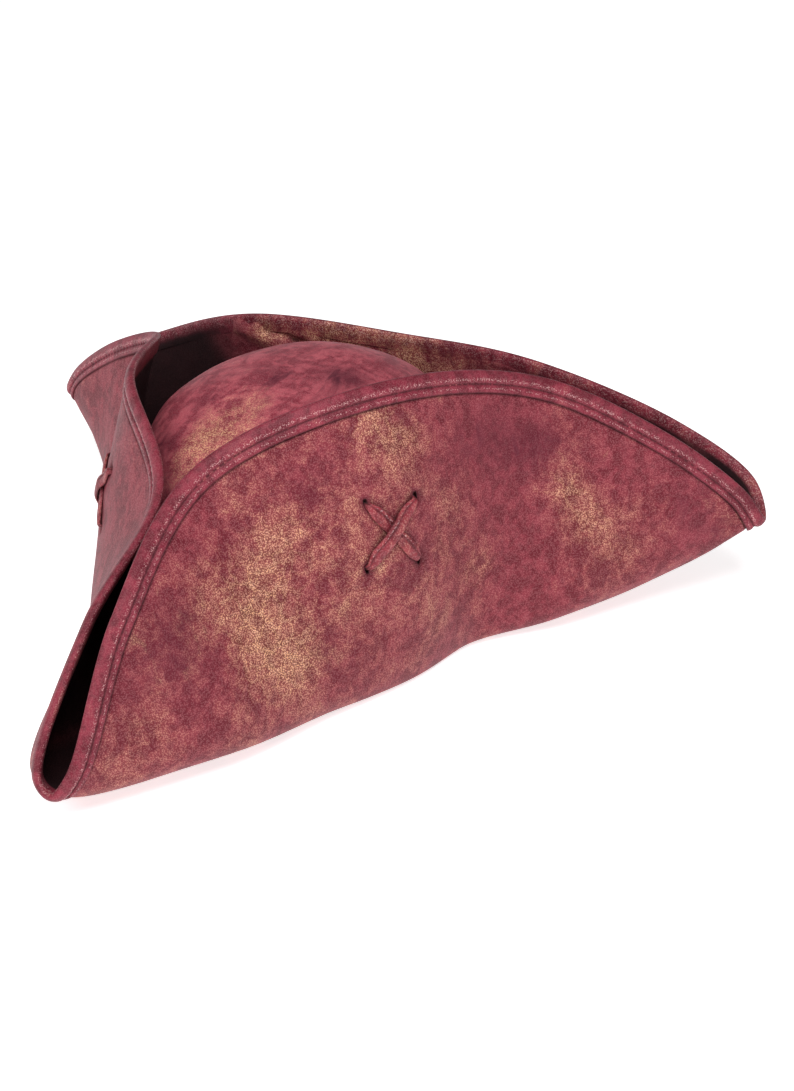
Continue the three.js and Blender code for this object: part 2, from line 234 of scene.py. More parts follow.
@dataclass
class BrimShape:
    """Middle surface of the brim, as fractions round the hat and up from the seat to the rim."""

    probe: float = 0.0005
    measuring_steps: int = 4801
    measured_up: tuple[float, ...] = (0.35, 0.7, 1.0)
    rows: list[tuple[RimRow, float, np.ndarray]] = field(default_factory=list)
    guides: dict[str, GuideCurve] = field(default_factory=dict)

    def __post_init__(self) -> None:
        """Lays out the rows and the guide curves through them."""
        left = [(row, row.turn, self._rim_point(row, i, Side.LEFT)) for i, row in enumerate(RIM_ROWS)]
        right = [(row, 360 - row.turn, self._rim_point(row, i + 1, Side.RIGHT))
                 for i, row in enumerate(RIGHT_FRONT_ROWS + RIM_ROWS[SIZES.front_rows:-1])]
        self.rows = left + right[::-1]
        rim = np.array([point for _, _, point in self.rows])
        turn = np.array([turn for _, turn, _ in self.rows])
        chord_after = np.roll(rim, -1, 0) - np.roll(rim, 1, 0)
        outward = unit(np.stack([chord_after[:, 1], -chord_after[:, 0], 0 * turn], -1))
        ahead = heading(turn)
        level = np.array([0, 0, SIZES.brim_wall / 2])
        foot = ahead * (head_radius(turn) + SIZES.seat_width)[:, None] + level
        chord = rim - foot
        length = np.linalg.norm(chord, axis=1)
        knee = np.array([row.knee for row, _, _ in self.rows]) * length
        belly = np.array([row.belly for row, _, _ in self.rows]) * length
        points = {
            "opening": ahead * (head_radius(turn) - SIZES.crown_wall)[:, None] + level,
            "foot": foot,
            "knee": foot + ahead * knee[:, None],
            "shoulder": rim - SIZES.rim_hold * chord + outward * belly[:, None],
            "rim": rim,
        }
        self.guides = {name: GuideCurve(row) for name, row in points.items()}

    @staticmethod
    def _rim_point(row: RimRow, index: int, side: Side) -> np.ndarray:
        """Returns the rim point of a row on one side of the hat."""
        front_rise = SIZES.left_flap_rise if side is Side.LEFT else SIZES.right_flap_rise
        flap_rise = SIZES.back_flap_rise if index > SIZES.side_corner_row else front_rise
        at_front = index < SIZES.front_rows
        reach = SIZES.front_reach if at_front else SIZES.side_reach
        corner_rise = SIZES.front_corner_rise if at_front else SIZES.side_corner_rise
        seat = float(head_radius(np.array(row.bearing))) + SIZES.seat_width
        point = heading(np.array(row.bearing)) * (seat + (reach - seat) * row.out)
        height = corner_rise + (flap_rise - corner_rise) * row.lift
        return np.array([point[0] * side.value, point[1], height])

    def around_at_turn(self, turn: float) -> float:
        """Returns the fraction round the hat of a bearing on the flat brim, in degrees."""
        turns = [row_turn for _, row_turn, _ in self.rows] + [360]
        return float(np.interp(turn, turns, np.arange(len(turns)))) / len(self.rows)

    def point(self, around: np.ndarray, up: np.ndarray) -> np.ndarray:
        """Returns points on the middle of the leather; the two arrays broadcast together."""
        around, up = np.broadcast_arrays(np.asarray(around, float), np.asarray(up, float))
        u = up[..., None]
        down = 1 - u
        g = self.guides
        return (g["foot"].at(around) * down**3 + g["knee"].at(around) * 3 * down**2 * u
                + g["shoulder"].at(around) * 3 * down * u**2 + g["rim"].at(around) * u**3)

    def frames(self, around: np.ndarray, up: np.ndarray) -> dict[str, np.ndarray]:
        """Returns unit directions along, rise and out, and the rates along and up."""
        step = self.probe
        along = (self.point(around + step, up) - self.point(around - step, up)) / (2 * step)
        rise = (self.point(around, up + step) - self.point(around, up - step)) / (2 * step)
        out = unit(np.cross(unit(along), unit(rise)))
        return {"along": unit(along), "rise": unit(rise), "out": out,
                "along_rate": np.linalg.norm(along, axis=-1), "rise_rate": np.linalg.norm(rise, axis=-1)}

    def _at_rim(self, around: np.ndarray) -> tuple[np.ndarray, np.ndarray]:
        """Returns the unit directions on beyond the rim and the length to the rim for each share up."""
        rim = self.frames(around, np.ones_like(around))
        beyond = unit(np.cross(rim["out"], rim["along"]))
        return beyond, rim["rise_rate"] * np.sum(rim["rise"] * beyond, -1)

    def up_at_back(self, around: np.ndarray, back: np.ndarray) -> np.ndarray:
        """Returns how far up the flap lies a length back from the rim, square to the rim."""
        return 1 - back / self._at_rim(around)[1]

    def back_of(self, around: np.ndarray, up: np.ndarray) -> np.ndarray:
        """Returns how far back from the rim places lie."""
        return (1 - up) * self._at_rim(around)[1]

    def near_rim(self, around: np.ndarray, back: np.ndarray, out: np.ndarray) -> np.ndarray:
        """Returns places back from the rim (negative is beyond it) and out of the leather's middle."""
        around, back, out = np.broadcast_arrays(*(np.asarray(row, float) for row in (around, back, out)))
        up = self.up_at_back(around, np.maximum(back, 0))
        point = self.point(around, up) + self.frames(around, up)["out"] * out[..., None]
        return point + self._at_rim(around)[0] * np.maximum(-back, 0)[..., None]

    def even_columns(self, count: int) -> np.ndarray:
        """Returns fractions round the hat whose columns are about evenly spaced on the leather."""
        fine = np.linspace(0, 1, self.measuring_steps)
        step = sum(np.linalg.norm(np.diff(self.point(fine, np.full_like(fine, up)), axis=0), axis=1)
                   for up in self.measured_up)
        length = np.concatenate([[0], np.cumsum(step)])
        return np.interp(np.arange(count) / count * length[-1], length, fine)

    def lace_holes(self, side: Side) -> dict[str, list[Pair]]:
        """Returns the hole pairs of the rising and the falling lace of a cross, as (around, up)."""
        turn = SIZES.lace_turn if side is Side.LEFT else 360 - SIZES.lace_turn
        around = self.around_at_turn(turn)
        frames = self.frames(np.array(around), np.array(SIZES.lace_up))
        tilt = math.radians(SIZES.lace_cross_tilt) * side.value
        level, steep = math.cos(tilt), math.sin(tilt)

        def corner(across: float, upward: float) -> Pair:
            """Returns the hole at one corner of the cross."""
            x, y = across * SIZES.lace_cross_width / 2, upward * SIZES.lace_cross_height / 2
            return (around + (x * level + y * steep) / float(frames["along_rate"]),
                    SIZES.lace_up + (y * level - x * steep) / float(frames["rise_rate"]))

        aside = SIZES.lace_aside / SIZES.lace_cross_width * 2
        return {"rising": [corner(-1, -1), corner(1, 1)],
                "falling": [corner(aside - 1, 1), corner(aside + 1, -1)]}


SHAPE = BrimShape()


@dataclass(frozen=True)
class Fold:
    """A soft ridge (or dent, where lift is negative) along a line on the leather."""

    start: Place
    end: Place
    width: float
    lift: float

    def at(self, points: np.ndarray) -> np.ndarray:
        """Returns the fold's lift at each point."""
        start, line = np.array(self.start), np.array(self.end) - np.array(self.start)
        share = np.clip((points - start) @ line / (line @ line), 0, 1)
        away = np.linalg.norm(points - start - share[..., None] * line, axis=-1)
        return self.lift * bell(away, 0, self.width)


@dataclass(frozen=True)
class Waves:
    """Gentle unevenness of soft leather: a few waves in random directions."""

    height: float
    length: float
    seed: int
    count: int = 7

    def at(self, points: np.ndarray) -> np.ndarray:
        """Returns the waves' lift at each point."""
        rng = np.random.default_rng(self.seed)
        total = np.zeros(points.shape[:-1])
        for _ in range(self.count):
            direction = unit(rng.normal(size=3))
            length = self.length * rng.uniform(0.7, 1.6)
            total += np.sin(points @ direction * (2 * math.pi / length) + rng.uniform(0, 2 * math.pi))
        return total * self.height / math.sqrt(self.count)


def unevenness(waves: Waves, folds: Sequence[Fold], points: np.ndarray) -> np.ndarray:
    """Returns how far waves and folds together lift the leather at each point."""
    return waves.at(points) + sum(fold.at(points) for fold in folds)


@dataclass(frozen=True)
class Rub:
    """A place where foil or dirt is rubbed on, by its middle, radius and strength."""

    middle: Place
    radius: float
    strength: float

    def at(self, points: np.ndarray) -> np.ndarray:
        """Returns the rub's strength at each point."""
        away = np.linalg.norm(points - np.array(self.middle), axis=-1)
        return self.strength * bell(away, 0, self.radius)


def rubbed(rubs: Sequence[Rub], points: np.ndarray) -> np.ndarray:
    """Returns the sum of the rubs at each point."""
    return sum((rub.at(points) for rub in rubs), np.zeros(points.shape[:-1]))


# Meshes

def crown_offset() -> np.ndarray:
    """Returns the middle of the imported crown's foot, in metres, where the head frame's origin lies."""
    low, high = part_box("crown")
    return np.array([(low.x + high.x) / 2, (low.y + high.y) / 2, 0.0])


OFFSET = crown_offset()


def placed(name: str, data: bpy.types.ID) -> bpy.types.Object:
    """Returns a new object with that data, put in the scene."""
    made = bpy.data.objects.new(name, data)
    bpy.context.scene.collection.objects.link(made)
    return made


def smoothed(mesh: bpy.types.Mesh) -> bpy.types.Mesh:
    """Returns the mesh with all its faces shaded smooth."""
    mesh.polygons.foreach_set("use_smooth", np.ones(len(mesh.polygons), bool))
    return mesh


class PlainMesh:
    """Vertices and faces of one piece in the head frame, gathered and then made an object."""

    def __init__(self) -> None:
        """Starts with no vertices and no faces."""
        self.blocks: list[np.ndarray] = []
        self.values: dict[str, list[np.ndarray]] = {}
        self.faces: list[tuple[int, ...]] = []
        self.count = 0

    def add(self, points: np.ndarray, **values: np.ndarray) -> np.ndarray:
        """Adds points with their attribute values.

        Args:
            points: Points in millimetres, in any grid shape.
            values: One number for each point, by attribute name.

        Returns:
            The vertex numbers, in the points' grid shape.
        """
        shape = points.shape[:-1]
        amount = int(np.prod(shape))
        self.blocks.append(points.reshape(-1, 3))
        for name, value in values.items():
            filled = self.values.setdefault(name, [])
            missing = self.count - sum(len(block) for block in filled)
            if missing:
                filled.append(np.zeros(missing))
            filled.append(np.broadcast_to(value, shape).reshape(-1))
        numbers = np.arange(self.count, self.count + amount).reshape(shape)
        self.count += amount
        return numbers

    def quads(self, grid: np.ndarray, flip: bool = False, closed: bool = False,
              skip: Optional[np.ndarray] = None) -> None:
        """Adds the quads of a grid of vertex numbers.

        Args:
            grid: Vertex numbers, columns first.
            flip: Whether the faces look the other way.
            closed: Whether the last column joins the first.
            skip: True for each cell that is left out.
        """
        nxt = np.roll(grid, -1, 0) if closed else grid[1:]
        this = grid if closed else grid[:-1]
        cells = np.stack([this[:, :-1], nxt[:, :-1], nxt[:, 1:], this[:, 1:]], -1)
        if skip is not None:
            cells = cells[~skip]
        cells = cells.reshape(-1, 4)
        self.faces += [tuple(row) for row in (cells[:, ::-1] if flip else cells).tolist()]

    def fan(self, ring: np.ndarray, tip: int, flip: bool = False) -> None:
        """Adds triangles from a closed ring of vertices to one vertex."""
        for a, b in zip(ring.tolist(), np.roll(ring, -1).tolist()):
            self.faces.append((b, a, tip) if flip else (a, b, tip))

    def build(self, name: str) -> bpy.types.Object:
        """Returns the object, at the origin, with its place in its mesh."""
        mesh = bpy.data.meshes.new(name)
        points = np.vstack(self.blocks) * MM + OFFSET
        mesh.from_pydata(points.tolist(), [], self.faces)
        for key, blocks in self.values.items():
            row = np.concatenate(blocks)
            row = np.concatenate([row, np.zeros(self.count - len(row))])
            attribute = mesh.attributes.new(key, "FLOAT", "POINT")
            attribute.data.foreach_set("value", row.astype(np.float32))
        smoothed(mesh).update()
        return placed(name, mesh)


# Node trees

Number = Union[float, int, "Signal"]
Inputs = Optional[dict[Union[str, int], Any]]


class NodeTree:
    """A node tree, filled through one method for every kind of node."""

    tree: bpy.types.NodeTree

    def node(self, kind: str, settings: Optional[dict[str, Any]] = None,
             inputs: Inputs = None) -> bpy.types.Node:
        """Adds a node.

        Args:
            kind: The node's type.
            settings: Its own settings, which are set before its sockets.
            inputs: Values, colours or links for its sockets, by name or number.

        Returns:
            The node.
        """
        node = self.tree.nodes.new(kind)
        for key, value in (settings or {}).items():
            setattr(node, key, value)
        for key, value in (inputs or {}).items():
            socket = node.inputs[key] if isinstance(key, int) else self._socket(node, key)
            link = value.socket if isinstance(value, Signal) else value
            if isinstance(link, bpy.types.NodeSocket):
                self.tree.links.new(link, socket)
            else:
                socket.default_value = value
        return node

    @staticmethod
    def _socket(node: bpy.types.Node, key: str) -> bpy.types.NodeSocket:
        """Returns a node's input by its identifier, or else by its name."""
        return next((socket for socket in node.inputs if socket.identifier == key), None) or node.inputs[key]


def operator(operation: str, reflected: bool = False) -> Callable[["Signal", Number], "Signal"]:
    """Returns one of Python's operators for signals, worked out by a Math node.

    Args:
        operation: The Math node's operation.
        reflected: Whether the signal stands on the right of the operator.

    Returns:
        The operator's method.
    """
    def combine(signal: "Signal", other: Number) -> "Signal":
        """Returns the result of the operator."""
        first, second = (other, signal) if reflected else (signal, other)
        shader = signal.shader
        node = shader.node("ShaderNodeMath", {"operation": operation}, {0: first, 1: second})
        return Signal(shader, node.outputs[0])

    return combine


class Signal:
    """A shader socket that Python's operators combine through Math nodes."""

    def __init__(self, shader: "Shader", socket: bpy.types.NodeSocket) -> None:
        """Args:
        shader: The shader that owns the socket.
        socket: The output socket.
        """
        self.shader = shader
        self.socket = socket

    __add__ = operator("ADD")
    __radd__ = operator("ADD", reflected=True)
    __sub__ = operator("SUBTRACT")
    __rsub__ = operator("SUBTRACT", reflected=True)
    __mul__ = operator("MULTIPLY")
    __rmul__ = operator("MULTIPLY", reflected=True)

    def ramp(self, low: float, high: float, start: float = 0.0, end: float = 1.0) -> "Signal":
        """Returns a smooth step from start at low to end at high."""
        node = self.shader.node("ShaderNodeMapRange", {"interpolation_type": "SMOOTHSTEP"},
                                {"Value": self, "From Min": low, "From Max": high,
                                 "To Min": start, "To Max": end})
        return Signal(self.shader, node.outputs["Result"])


def weighed(weights: Sequence[float], signals: Sequence[Signal]) -> Signal:
    """Returns the sum of the signals, each times its weight."""
    first, *rest = [signal * weight for signal, weight in zip(signals, weights)]
    return sum(rest, first)


class Shader(NodeTree):
    """A material's node tree."""

    def __init__(self, name: str) -> None:
        """Starts an empty material of that name."""
        self.material = bpy.data.materials.new(name)
        self.material.use_nodes = True
        self.tree = self.material.node_tree
        self.tree.nodes.clear()

    def coords(self) -> bpy.types.NodeSocket:
        """Returns the object coordinates, in metres."""
        return self.node("ShaderNodeTexCoord").outputs["Object"]

    def attribute(self, name: str) -> Signal:
        """Returns a number that the mesh carries."""
        node = self.node("ShaderNodeAttribute", {"attribute_name": name})
        return Signal(self, node.outputs["Fac"])

    def stretched(self, turn: Place, scale: Place) -> bpy.types.NodeSocket:
        """Returns the object coordinates turned (degrees) and stretched."""
        radians = tuple(math.radians(angle) for angle in turn)
        return self.node("ShaderNodeMapping", None,
                         {"Vector": self.coords(), "Rotation": radians, "Scale": scale}).outputs[0]

    def noise(self, size: float, detail: float = 2.0, rough: float = 0.5, warp: float = 0.0,
              at: Optional[bpy.types.NodeSocket] = None) -> Signal:
        """Returns noise from 0 to 1 whose features are about that size, in millimetres."""
        node = self.node("ShaderNodeTexNoise", None,
                         {"Vector": at or self.coords(), "Scale": 1 / (size * MM), "Detail": detail,
                          "Roughness": rough, "Distortion": warp})
        return Signal(self, node.outputs[0])

    def warped(self, size: float, amount: float) -> bpy.types.NodeSocket:
        """Returns the object coordinates pushed about by noise, both in millimetres."""
        noise = self.node("ShaderNodeTexNoise", None, {"Vector": self.coords(), "Scale": 1 / (size * MM)})
        push = self.node("ShaderNodeVectorMath", {"operation": "MULTIPLY_ADD"},
                         {0: noise.outputs["Color"], 1: (amount * MM,) * 3, 2: self.coords()})
        return push.outputs[0]

    def _cells(self, feature: str, size: float, at: bpy.types.NodeSocket) -> bpy.types.Node:
        """Returns a node that divides space into cells of that size, in millimetres."""
        return self.node("ShaderNodeTexVoronoi", {"feature": feature},
                         {"Vector": at, "Scale": 1 / (size * MM)})

    def pebbles(self, size: float, at: bpy.types.NodeSocket) -> tuple[Signal, bpy.types.NodeSocket]:
        """Returns the distance to the middle of a cell, and the cell's random colour."""
        node = self._cells("F1", size, at)
        return Signal(self, node.outputs["Distance"]), node.outputs["Color"]

    def borders(self, size: float, at: bpy.types.NodeSocket) -> Signal:
        """Returns the distance to the border between cells."""
        return Signal(self, self._cells("DISTANCE_TO_EDGE", size, at).outputs["Distance"])

    def random_of(self, colour: bpy.types.NodeSocket) -> Signal:
        """Returns one random number of a cell's random colour."""
        return Signal(self, self.node("ShaderNodeSeparateColor", None, {0: colour}).outputs[0])

    def mix(self, share: Number, first: Any, second: Any, blend: str = "MIX") -> bpy.types.NodeSocket:
        """Returns a mix of two colours, each a colour or a socket."""
        def full(colour: Any) -> Any:
            """Returns a colour with its alpha, or the socket as it is."""
            return colour if isinstance(colour, bpy.types.NodeSocket) else (*colour, 1.0)

        node = self.node("ShaderNodeMix", {"data_type": "RGBA", "blend_type": blend},
                         {"Factor_Float": share, "A_Color": full(first), "B_Color": full(second)})
        return next(socket for socket in node.outputs if socket.identifier == "Result_Color")

    def bump(self, height: Signal, strength: float, distance: float,
             under: Optional[bpy.types.NodeSocket] = None) -> bpy.types.NodeSocket:
        """Returns a normal bumped by a height, on top of another normal if there is one."""
        inputs: dict[Union[str, int], Any] = {"Height": height, "Strength": strength, "Distance": distance}
        if under is not None:
            inputs["Normal"] = under
        return self.node("ShaderNodeBump", None, inputs).outputs[0]

    def finish(self, colour: Any, roughness: Number, metallic: Number,
               normal: Optional[bpy.types.NodeSocket], constants: dict[str, Any]) -> bpy.types.Material:
        """Closes the tree with a Principled shader.

        Args:
            colour: Base colour.
            roughness: Roughness.
            metallic: Metallic.
            normal: Normal, or None.
            constants: Values that are the same all over, by socket name.

        Returns:
            The material.
        """
        inputs: dict[Union[str, int], Any] = {"Base Color": colour, "Roughness": roughness,
                                              "Metallic": metallic, **constants}
        if normal is not None:
            inputs["Normal"] = normal
        surface = self.node("ShaderNodeBsdfPrincipled", None, inputs)
        self.node("ShaderNodeOutputMaterial", None, {"Surface": surface.outputs[0]})
        return self.material


def srgb(red: int, green: int, blue: int) -> Colour:
    """Returns the linear colour of a screen colour."""
    def linear(value: int) -> float:
        """Returns one linear channel."""
        share = value / 255
        return share / 12.92 if share <= 0.04045 else ((share + 0.055) / 1.055) ** 2.4

    return linear(red), linear(green), linear(blue)


@dataclass(frozen=True)
class LeatherFinish:
    """Soft wine-red leather with gold foil rubbed over its grain, with painted highlights and painted shade.
    """

    name: str
    deep: Colour = srgb(112, 34, 46)
    wine: Colour = srgb(154, 62, 74)
    # rose: pale pebble tops, partly their lighter rubbed colour and partly painted highlight
    rose: Colour = srgb(206, 138, 142)
    # valley: darker between the pebbles, partly the grain's own colour and partly painted shade
    valley: Colour = srgb(62, 12, 22)
    smudge: Colour = srgb(88, 30, 46)
    foil: Colour = srgb(255, 200, 150)
    # glint: painted highlight colour of the sparkles and glint lines
    glint: Colour = srgb(255, 226, 226)
    # shade: painted shade colour for wells, grooves, creases and beside the laces
    shade: Colour = srgb(26, 13, 15)
    grain: float = 0.66
    grain_depth: float = 0.00022
    cloud: float = 42
    foil_share: float = 0.85
    rose_share: float = 0.4
    valley_share: float = 0.5
    smudge_share: float = 0.4
    sparkle: float = 0.45
    flow_turn: Place = (0, 0, 0)
    flow_scale: Place = (1.0, 1.0, 0.5)
    vein_size: float = 9.0
    mottle_size: float = 5.0
    flow_size: float = 9.0
    speck_size: float = 0.62
    speck_spread: float = 0.2
    speck_edge: float = 0.36
    # Which pebble tops get painted glints
    glint_speck_tips: Pair = (0.62, 0.82)
    vein_edge: Pair = (0.02, 0.17)
    drift_weights: tuple[float, ...] = (1.1, 1.2, 0.9, 0.8)
    tone_weights: tuple[float, ...] = (1.2, 1.3, 1.2)
    smudge_weights: tuple[float, ...] = (2.6, 1.2)
    relief_weights: tuple[float, ...] = (0.7, 0.2, 0.8)
    rub_weight: float = 0.52
    drift_weight: float = 0.75
    vein_in_rub: float = 0.28
    vein_anywhere: float = 0.05
    cloud_edge: Pair = (-0.07, 1.05)
    crispness: float = 0.45
    tone_edge: Pair = (0.2, 0.8)
    smudge_edge: Pair = (0.08, 0.6)
    foil_on_specks: float = 0.85
    foil_between: float = 0.12
    foil_metal: float = 0.25
    spark_in_foil: float = 0.6
    spark_anywhere: float = 0.1
    shine_gain: float = 0.1
    dark_roughness: float = 0.35
    grain_strength: float = 0.85
    soft_strength: float = 0.3
    soft_depth: float = 0.0015
    sheen: float = 0.02
    sheen_tint: Colour = srgb(255, 176, 192)
    shine: float = 0.14
    roughness: float = 0.5

    def material(self) -> bpy.types.Material:
        """Returns the finished material."""
        s = Shader(self.name)
        broad = s.noise(self.cloud, 2, 0.5, 0.3) - 0.5
        patch = s.noise(self.cloud / 3, 3, 0.6, 0.5) - 0.5
        mottle = s.noise(self.mottle_size, 3, 0.6, 0.4) - 0.5
        flow = s.noise(self.flow_size, 3, 0.62, 0.6, s.stretched(self.flow_turn, self.flow_scale)) - 0.5
        cell, tint = s.pebbles(self.grain, s.warped(self.grain * 1.5, self.grain * 0.5))
        tip = s.random_of(tint)
        speck = (self.speck_size - cell + (tip - 0.5) * self.speck_spread).ramp(0, self.speck_edge)
        # The brightest pebble tops, which get painted glints
        glint_speck = speck * tip.ramp(*self.glint_speck_tips)
        wander = s.warped(self.vein_size * 0.7, self.vein_size)
        vein = s.borders(self.vein_size, wander).ramp(*self.vein_edge, 1, 0)
        # glint carries painted highlight lines and dark carries painted shade, both from the mesh
        rub, dirt, line, dark = (s.attribute(name) for name in ("foil", "dirt", "glint", "dark"))

        drift = weighed(self.drift_weights, (broad, patch, flow, mottle))
        veined = vein * (rub * self.vein_in_rub + self.vein_anywhere)
        cloudy = (rub * self.rub_weight + drift * self.drift_weight + veined).ramp(*self.cloud_edge)
        crisp = cloudy * self.crispness + (1 - self.crispness)
        tone = (weighed(self.tone_weights, (patch, mottle, flow)) + 0.5).ramp(*self.tone_edge)
        colour = s.mix(tone, self.deep, self.wine)
        # Painted highlight on the pebble tops, together with their lighter rubbed colour
        colour = s.mix(speck * crisp * self.rose_share, colour, self.rose)
        # Darker between the pebbles: the grain's own colour and painted shade
        colour = s.mix((1 - speck) * crisp * self.valley_share, colour, self.valley)
        stain = weighed(self.smudge_weights, (flow, broad)).ramp(*self.smudge_edge)
        smudged = stain * self.smudge_share + dirt
        colour = s.mix(smudged.ramp(0, 1.2), colour, self.smudge)
        foil = cloudy * (speck * self.foil_on_specks + self.foil_between) * self.foil_share
        colour = s.mix(foil, colour, self.foil)
        # Painted highlights: sparkles on the pebble tops and the glint lines that the mesh carries
        spark = glint_speck * (cloudy * self.spark_in_foil + self.spark_anywhere) * self.sparkle
        spark = spark + line * speck * tip.ramp(0.25, 0.7, 0.15)
        colour = s.mix(spark.ramp(0, 1), colour, self.glint)
        # Painted shade from the mesh, made rougher there too
        colour = s.mix(dark, colour, self.shade)

        roughness = self.roughness - foil * self.shine_gain - spark * self.shine_gain
        roughness = roughness + dark * self.dark_roughness
        height = weighed(self.relief_weights, (speck, glint_speck, mottle))
        grain = s.bump(height, self.grain_strength, self.grain_depth)
        normal = s.bump(flow + patch, self.soft_strength, self.soft_depth, grain)
        return s.finish(colour, roughness, foil * self.foil_metal, normal,
                        {"Sheen Weight": self.sheen, "Sheen Roughness": 0.42,
                         "Sheen Tint": (*self.sheen_tint, 1.0), "Specular IOR Level": self.shine})


@dataclass(frozen=True)
class ThreadFinish:
    """Twisted dark sewing thread."""

    name: str
    colour: Colour = srgb(58, 18, 26)
    lit: Colour = srgb(96, 36, 46)
    twist_size: float = 0.35
    twist_depth: float = 0.0001
    roughness: float = 0.62
    shine: float = 0.3

    def material(self) -> bpy.types.Material:
        """Returns the finished material."""
        s = Shader(self.name)
        twist = s.noise(self.twist_size, 2, 0.6)
        colour = s.mix(twist.ramp(0.35, 0.65), self.colour, self.lit)
        normal = s.bump(twist, 0.6, self.twist_depth)
        return s.finish(colour, self.roughness, 0.0, normal, {"Specular IOR Level": self.shine})


@dataclass(frozen=True)
class PaperFinish:
    """Plain pale floor."""

    name: str
    colour: Colour = (0.93, 0.93, 0.93)
    glow: float = 0.68

    def material(self) -> bpy.types.Material:
        """Returns the finished material."""
        s = Shader(self.name)
        fibre = s.noise(2.0, 2, 0.5)
        colour = s.mix(fibre, self.colour, tuple(0.985 * channel for channel in self.colour))
        return s.finish(colour, 0.9, 0.0, None,
                        {"Specular IOR Level": 0.1, "Emission Color": (1, 1, 1, 1),
                         "Emission Strength": self.glow})


def dress(piece: bpy.types.Object, material: bpy.types.Material, slot: str, *nodes: str) -> None:
    """Gives a piece its material and its body, and hides the nodes that it stands for."""
    piece.data.materials.clear()
    piece.data.materials.append(material)
    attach(piece, BODY)
    if nodes:
        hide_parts(*nodes)
    LOG.info("%s: %d faces", piece.name, len(piece.data.polygons))


# Where foil is rubbed on, where there is none, and where the leather is smudged, about the head.
# Many middles are places in the photograph that a scratch program found on the surface
GOLD_RUBS = (
    Rub((58, -100, 84), 46, 0.28),
    Rub((126, 22, 92), 14, 0.25),
    # Back flap: its own foil, brightened where its upper strip catches the light, partly painted light
    Rub((-20, 120, 108), 46, 0.35),
    Rub((42, -126, 74), 21, 0.95),
    Rub((50, -100, 98), 18, 0.3),
    Rub((56, -136, 50), 20, 0.75),
    Rub((62, -120, 38), 14, 0.6),
    Rub((72, -54, 138), 16, 0.9),
    Rub((82, -40, 128), 12, 0.4),
    Rub((98, -28, 76), 20, 0.3),
    Rub((92, -60, 60), 18, 0.35),
    Rub((104, -8, 50), 16, 0.35),
    Rub((134, 40, 78), 11, 0.75),
    Rub((142, 46, 62), 12, 0.4),
    Rub((150, 52, 46), 14, 0.3),
    Rub((176, 76, 56), 15, 0.35),
    Rub((196, 92, 62), 13, 0.4),
    Rub((20, -195, 36), 14, 0.35),
    # Back flap: its own foil, brightened on the lit ridge beside the crease and the lit upper strip, partly
    # painted highlight
    Rub((-80, 110, 106), 8, 0.9),
    Rub((-46, 115, 108), 16, 0.5),
    Rub((6, 122, 108), 22, 0.3),
    Rub((-10, -64, 126), 20, 0.9),
    Rub((-22, -78, 114), 20, 0.9),
    Rub((-6, -40, 132), 12, 0.5),
)
PLAIN_RUBS = (
    Rub((-62, -95, 70), 62, 0.9),
    Rub((-120, 0, 70), 60, 0.9),
    Rub((-150, 110, 90), 50, 0.6),
    Rub((20, 18, 140), 52, 0.9),
    Rub((18, -210, 50), 18, 0.2),
    Rub((185, 95, 80), 26, 0.5),
    Rub((112, 10, 118), 24, 0.8),
    Rub((148, 58, 88), 16, 0.35),
    Rub((118, 22, 56), 12, 0.3),
    Rub((-37, -68, 113), 13, 0.9),
    Rub((186, 84, 50), 15, 0.5),
)
SMUDGES = (
    Rub((180, 92, 86), 26, 0.35),
    Rub((27, -174, 68), 28, 0.5),
    Rub((104, 12, 112), 24, 0.45),
    Rub((118, 36, 100), 16, 0.5),
    Rub((60, -92, 118), 14, 0.5),
    Rub((68, -98, 45), 20, 0.25),
    Rub((-37, -68, 113), 13, 0.55),
    Rub((186, 84, 50), 16, 0.35),
    Rub((26, 4, 137), 15, 0.8),
    Rub((-4, -12, 136), 12, 0.5),
    Rub((-30, -40, 126), 12, 0.4),
)


FOIL_RANGE = (-0.8, 1.4)


def painted(points: np.ndarray, gold: float = 1.0) -> dict[str, np.ndarray]:
    """Returns the foil, dirt and dark attributes at points about the head; dark is painted shade along the
    back flap's crease.
    """
    foil = gold * rubbed(GOLD_RUBS, points) - rubbed(PLAIN_RUBS, points)
    return {"foil": np.clip(foil, *FOIL_RANGE), "dirt": np.clip(rubbed(SMUDGES, points), 0, 1),
            "dark": np.clip(CREASE_SHADE.at(points), 0, 1)}


@dataclass(frozen=True)
class Well:
    """Stretch of the brim's inner face that gets painted shade below a lit edge, by fractions round the hat.
    """

    start: float
    end: float
    lit: float
    deep: float
    strength: float
    soft: float = 0.012

    def at(self, around: np.ndarray, back: np.ndarray) -> np.ndarray:
        """Returns how much painted shade the face gets at fractions round the hat and lengths back from the
        rim.
        """
        middle, half = (self.start + self.end) / 2, (self.end - self.start) / 2
        away = np.abs((around - middle + 0.5) % 1 - 0.5)
        return (self.strength * smooth(half - away, -self.soft, self.soft)
                * smooth(back, self.lit, self.deep))


# Painted shade inside the corners and behind the flaps, where the inner face lies in shadow
WELLS = (
    Well(0.556, 0.75, 1.0, 6.5, 0.96),
    Well(0.74, 0.95, 8.4, 12, 0.96, 0.02),
    Well(0.93, 1.09, 5, 9, 0.96, 0.02),
    Well(0.09, 0.26, 6, 60, 0.85, 0.03),
    Well(0.26, 0.41, 2.6, 4.8, 0.96, 0.02),
    Well(0.39, 0.46, 3.2, 6, 0.88, 0.03),
    Well(0.36, 0.5, 14, 36, 0.8, 0.03),
)
# Painted shade along the crease in the back flap
CREASE_SHADE = Fold((-90, 109, 110), (-62, 112, 101), 1.1, 0.95)


def shaded(around: np.ndarray, back: np.ndarray) -> np.ndarray:
    """Returns the painted shade on the brim's inner face, from its wells."""
    return np.max([well.at(around, back) for well in WELLS], axis=0)


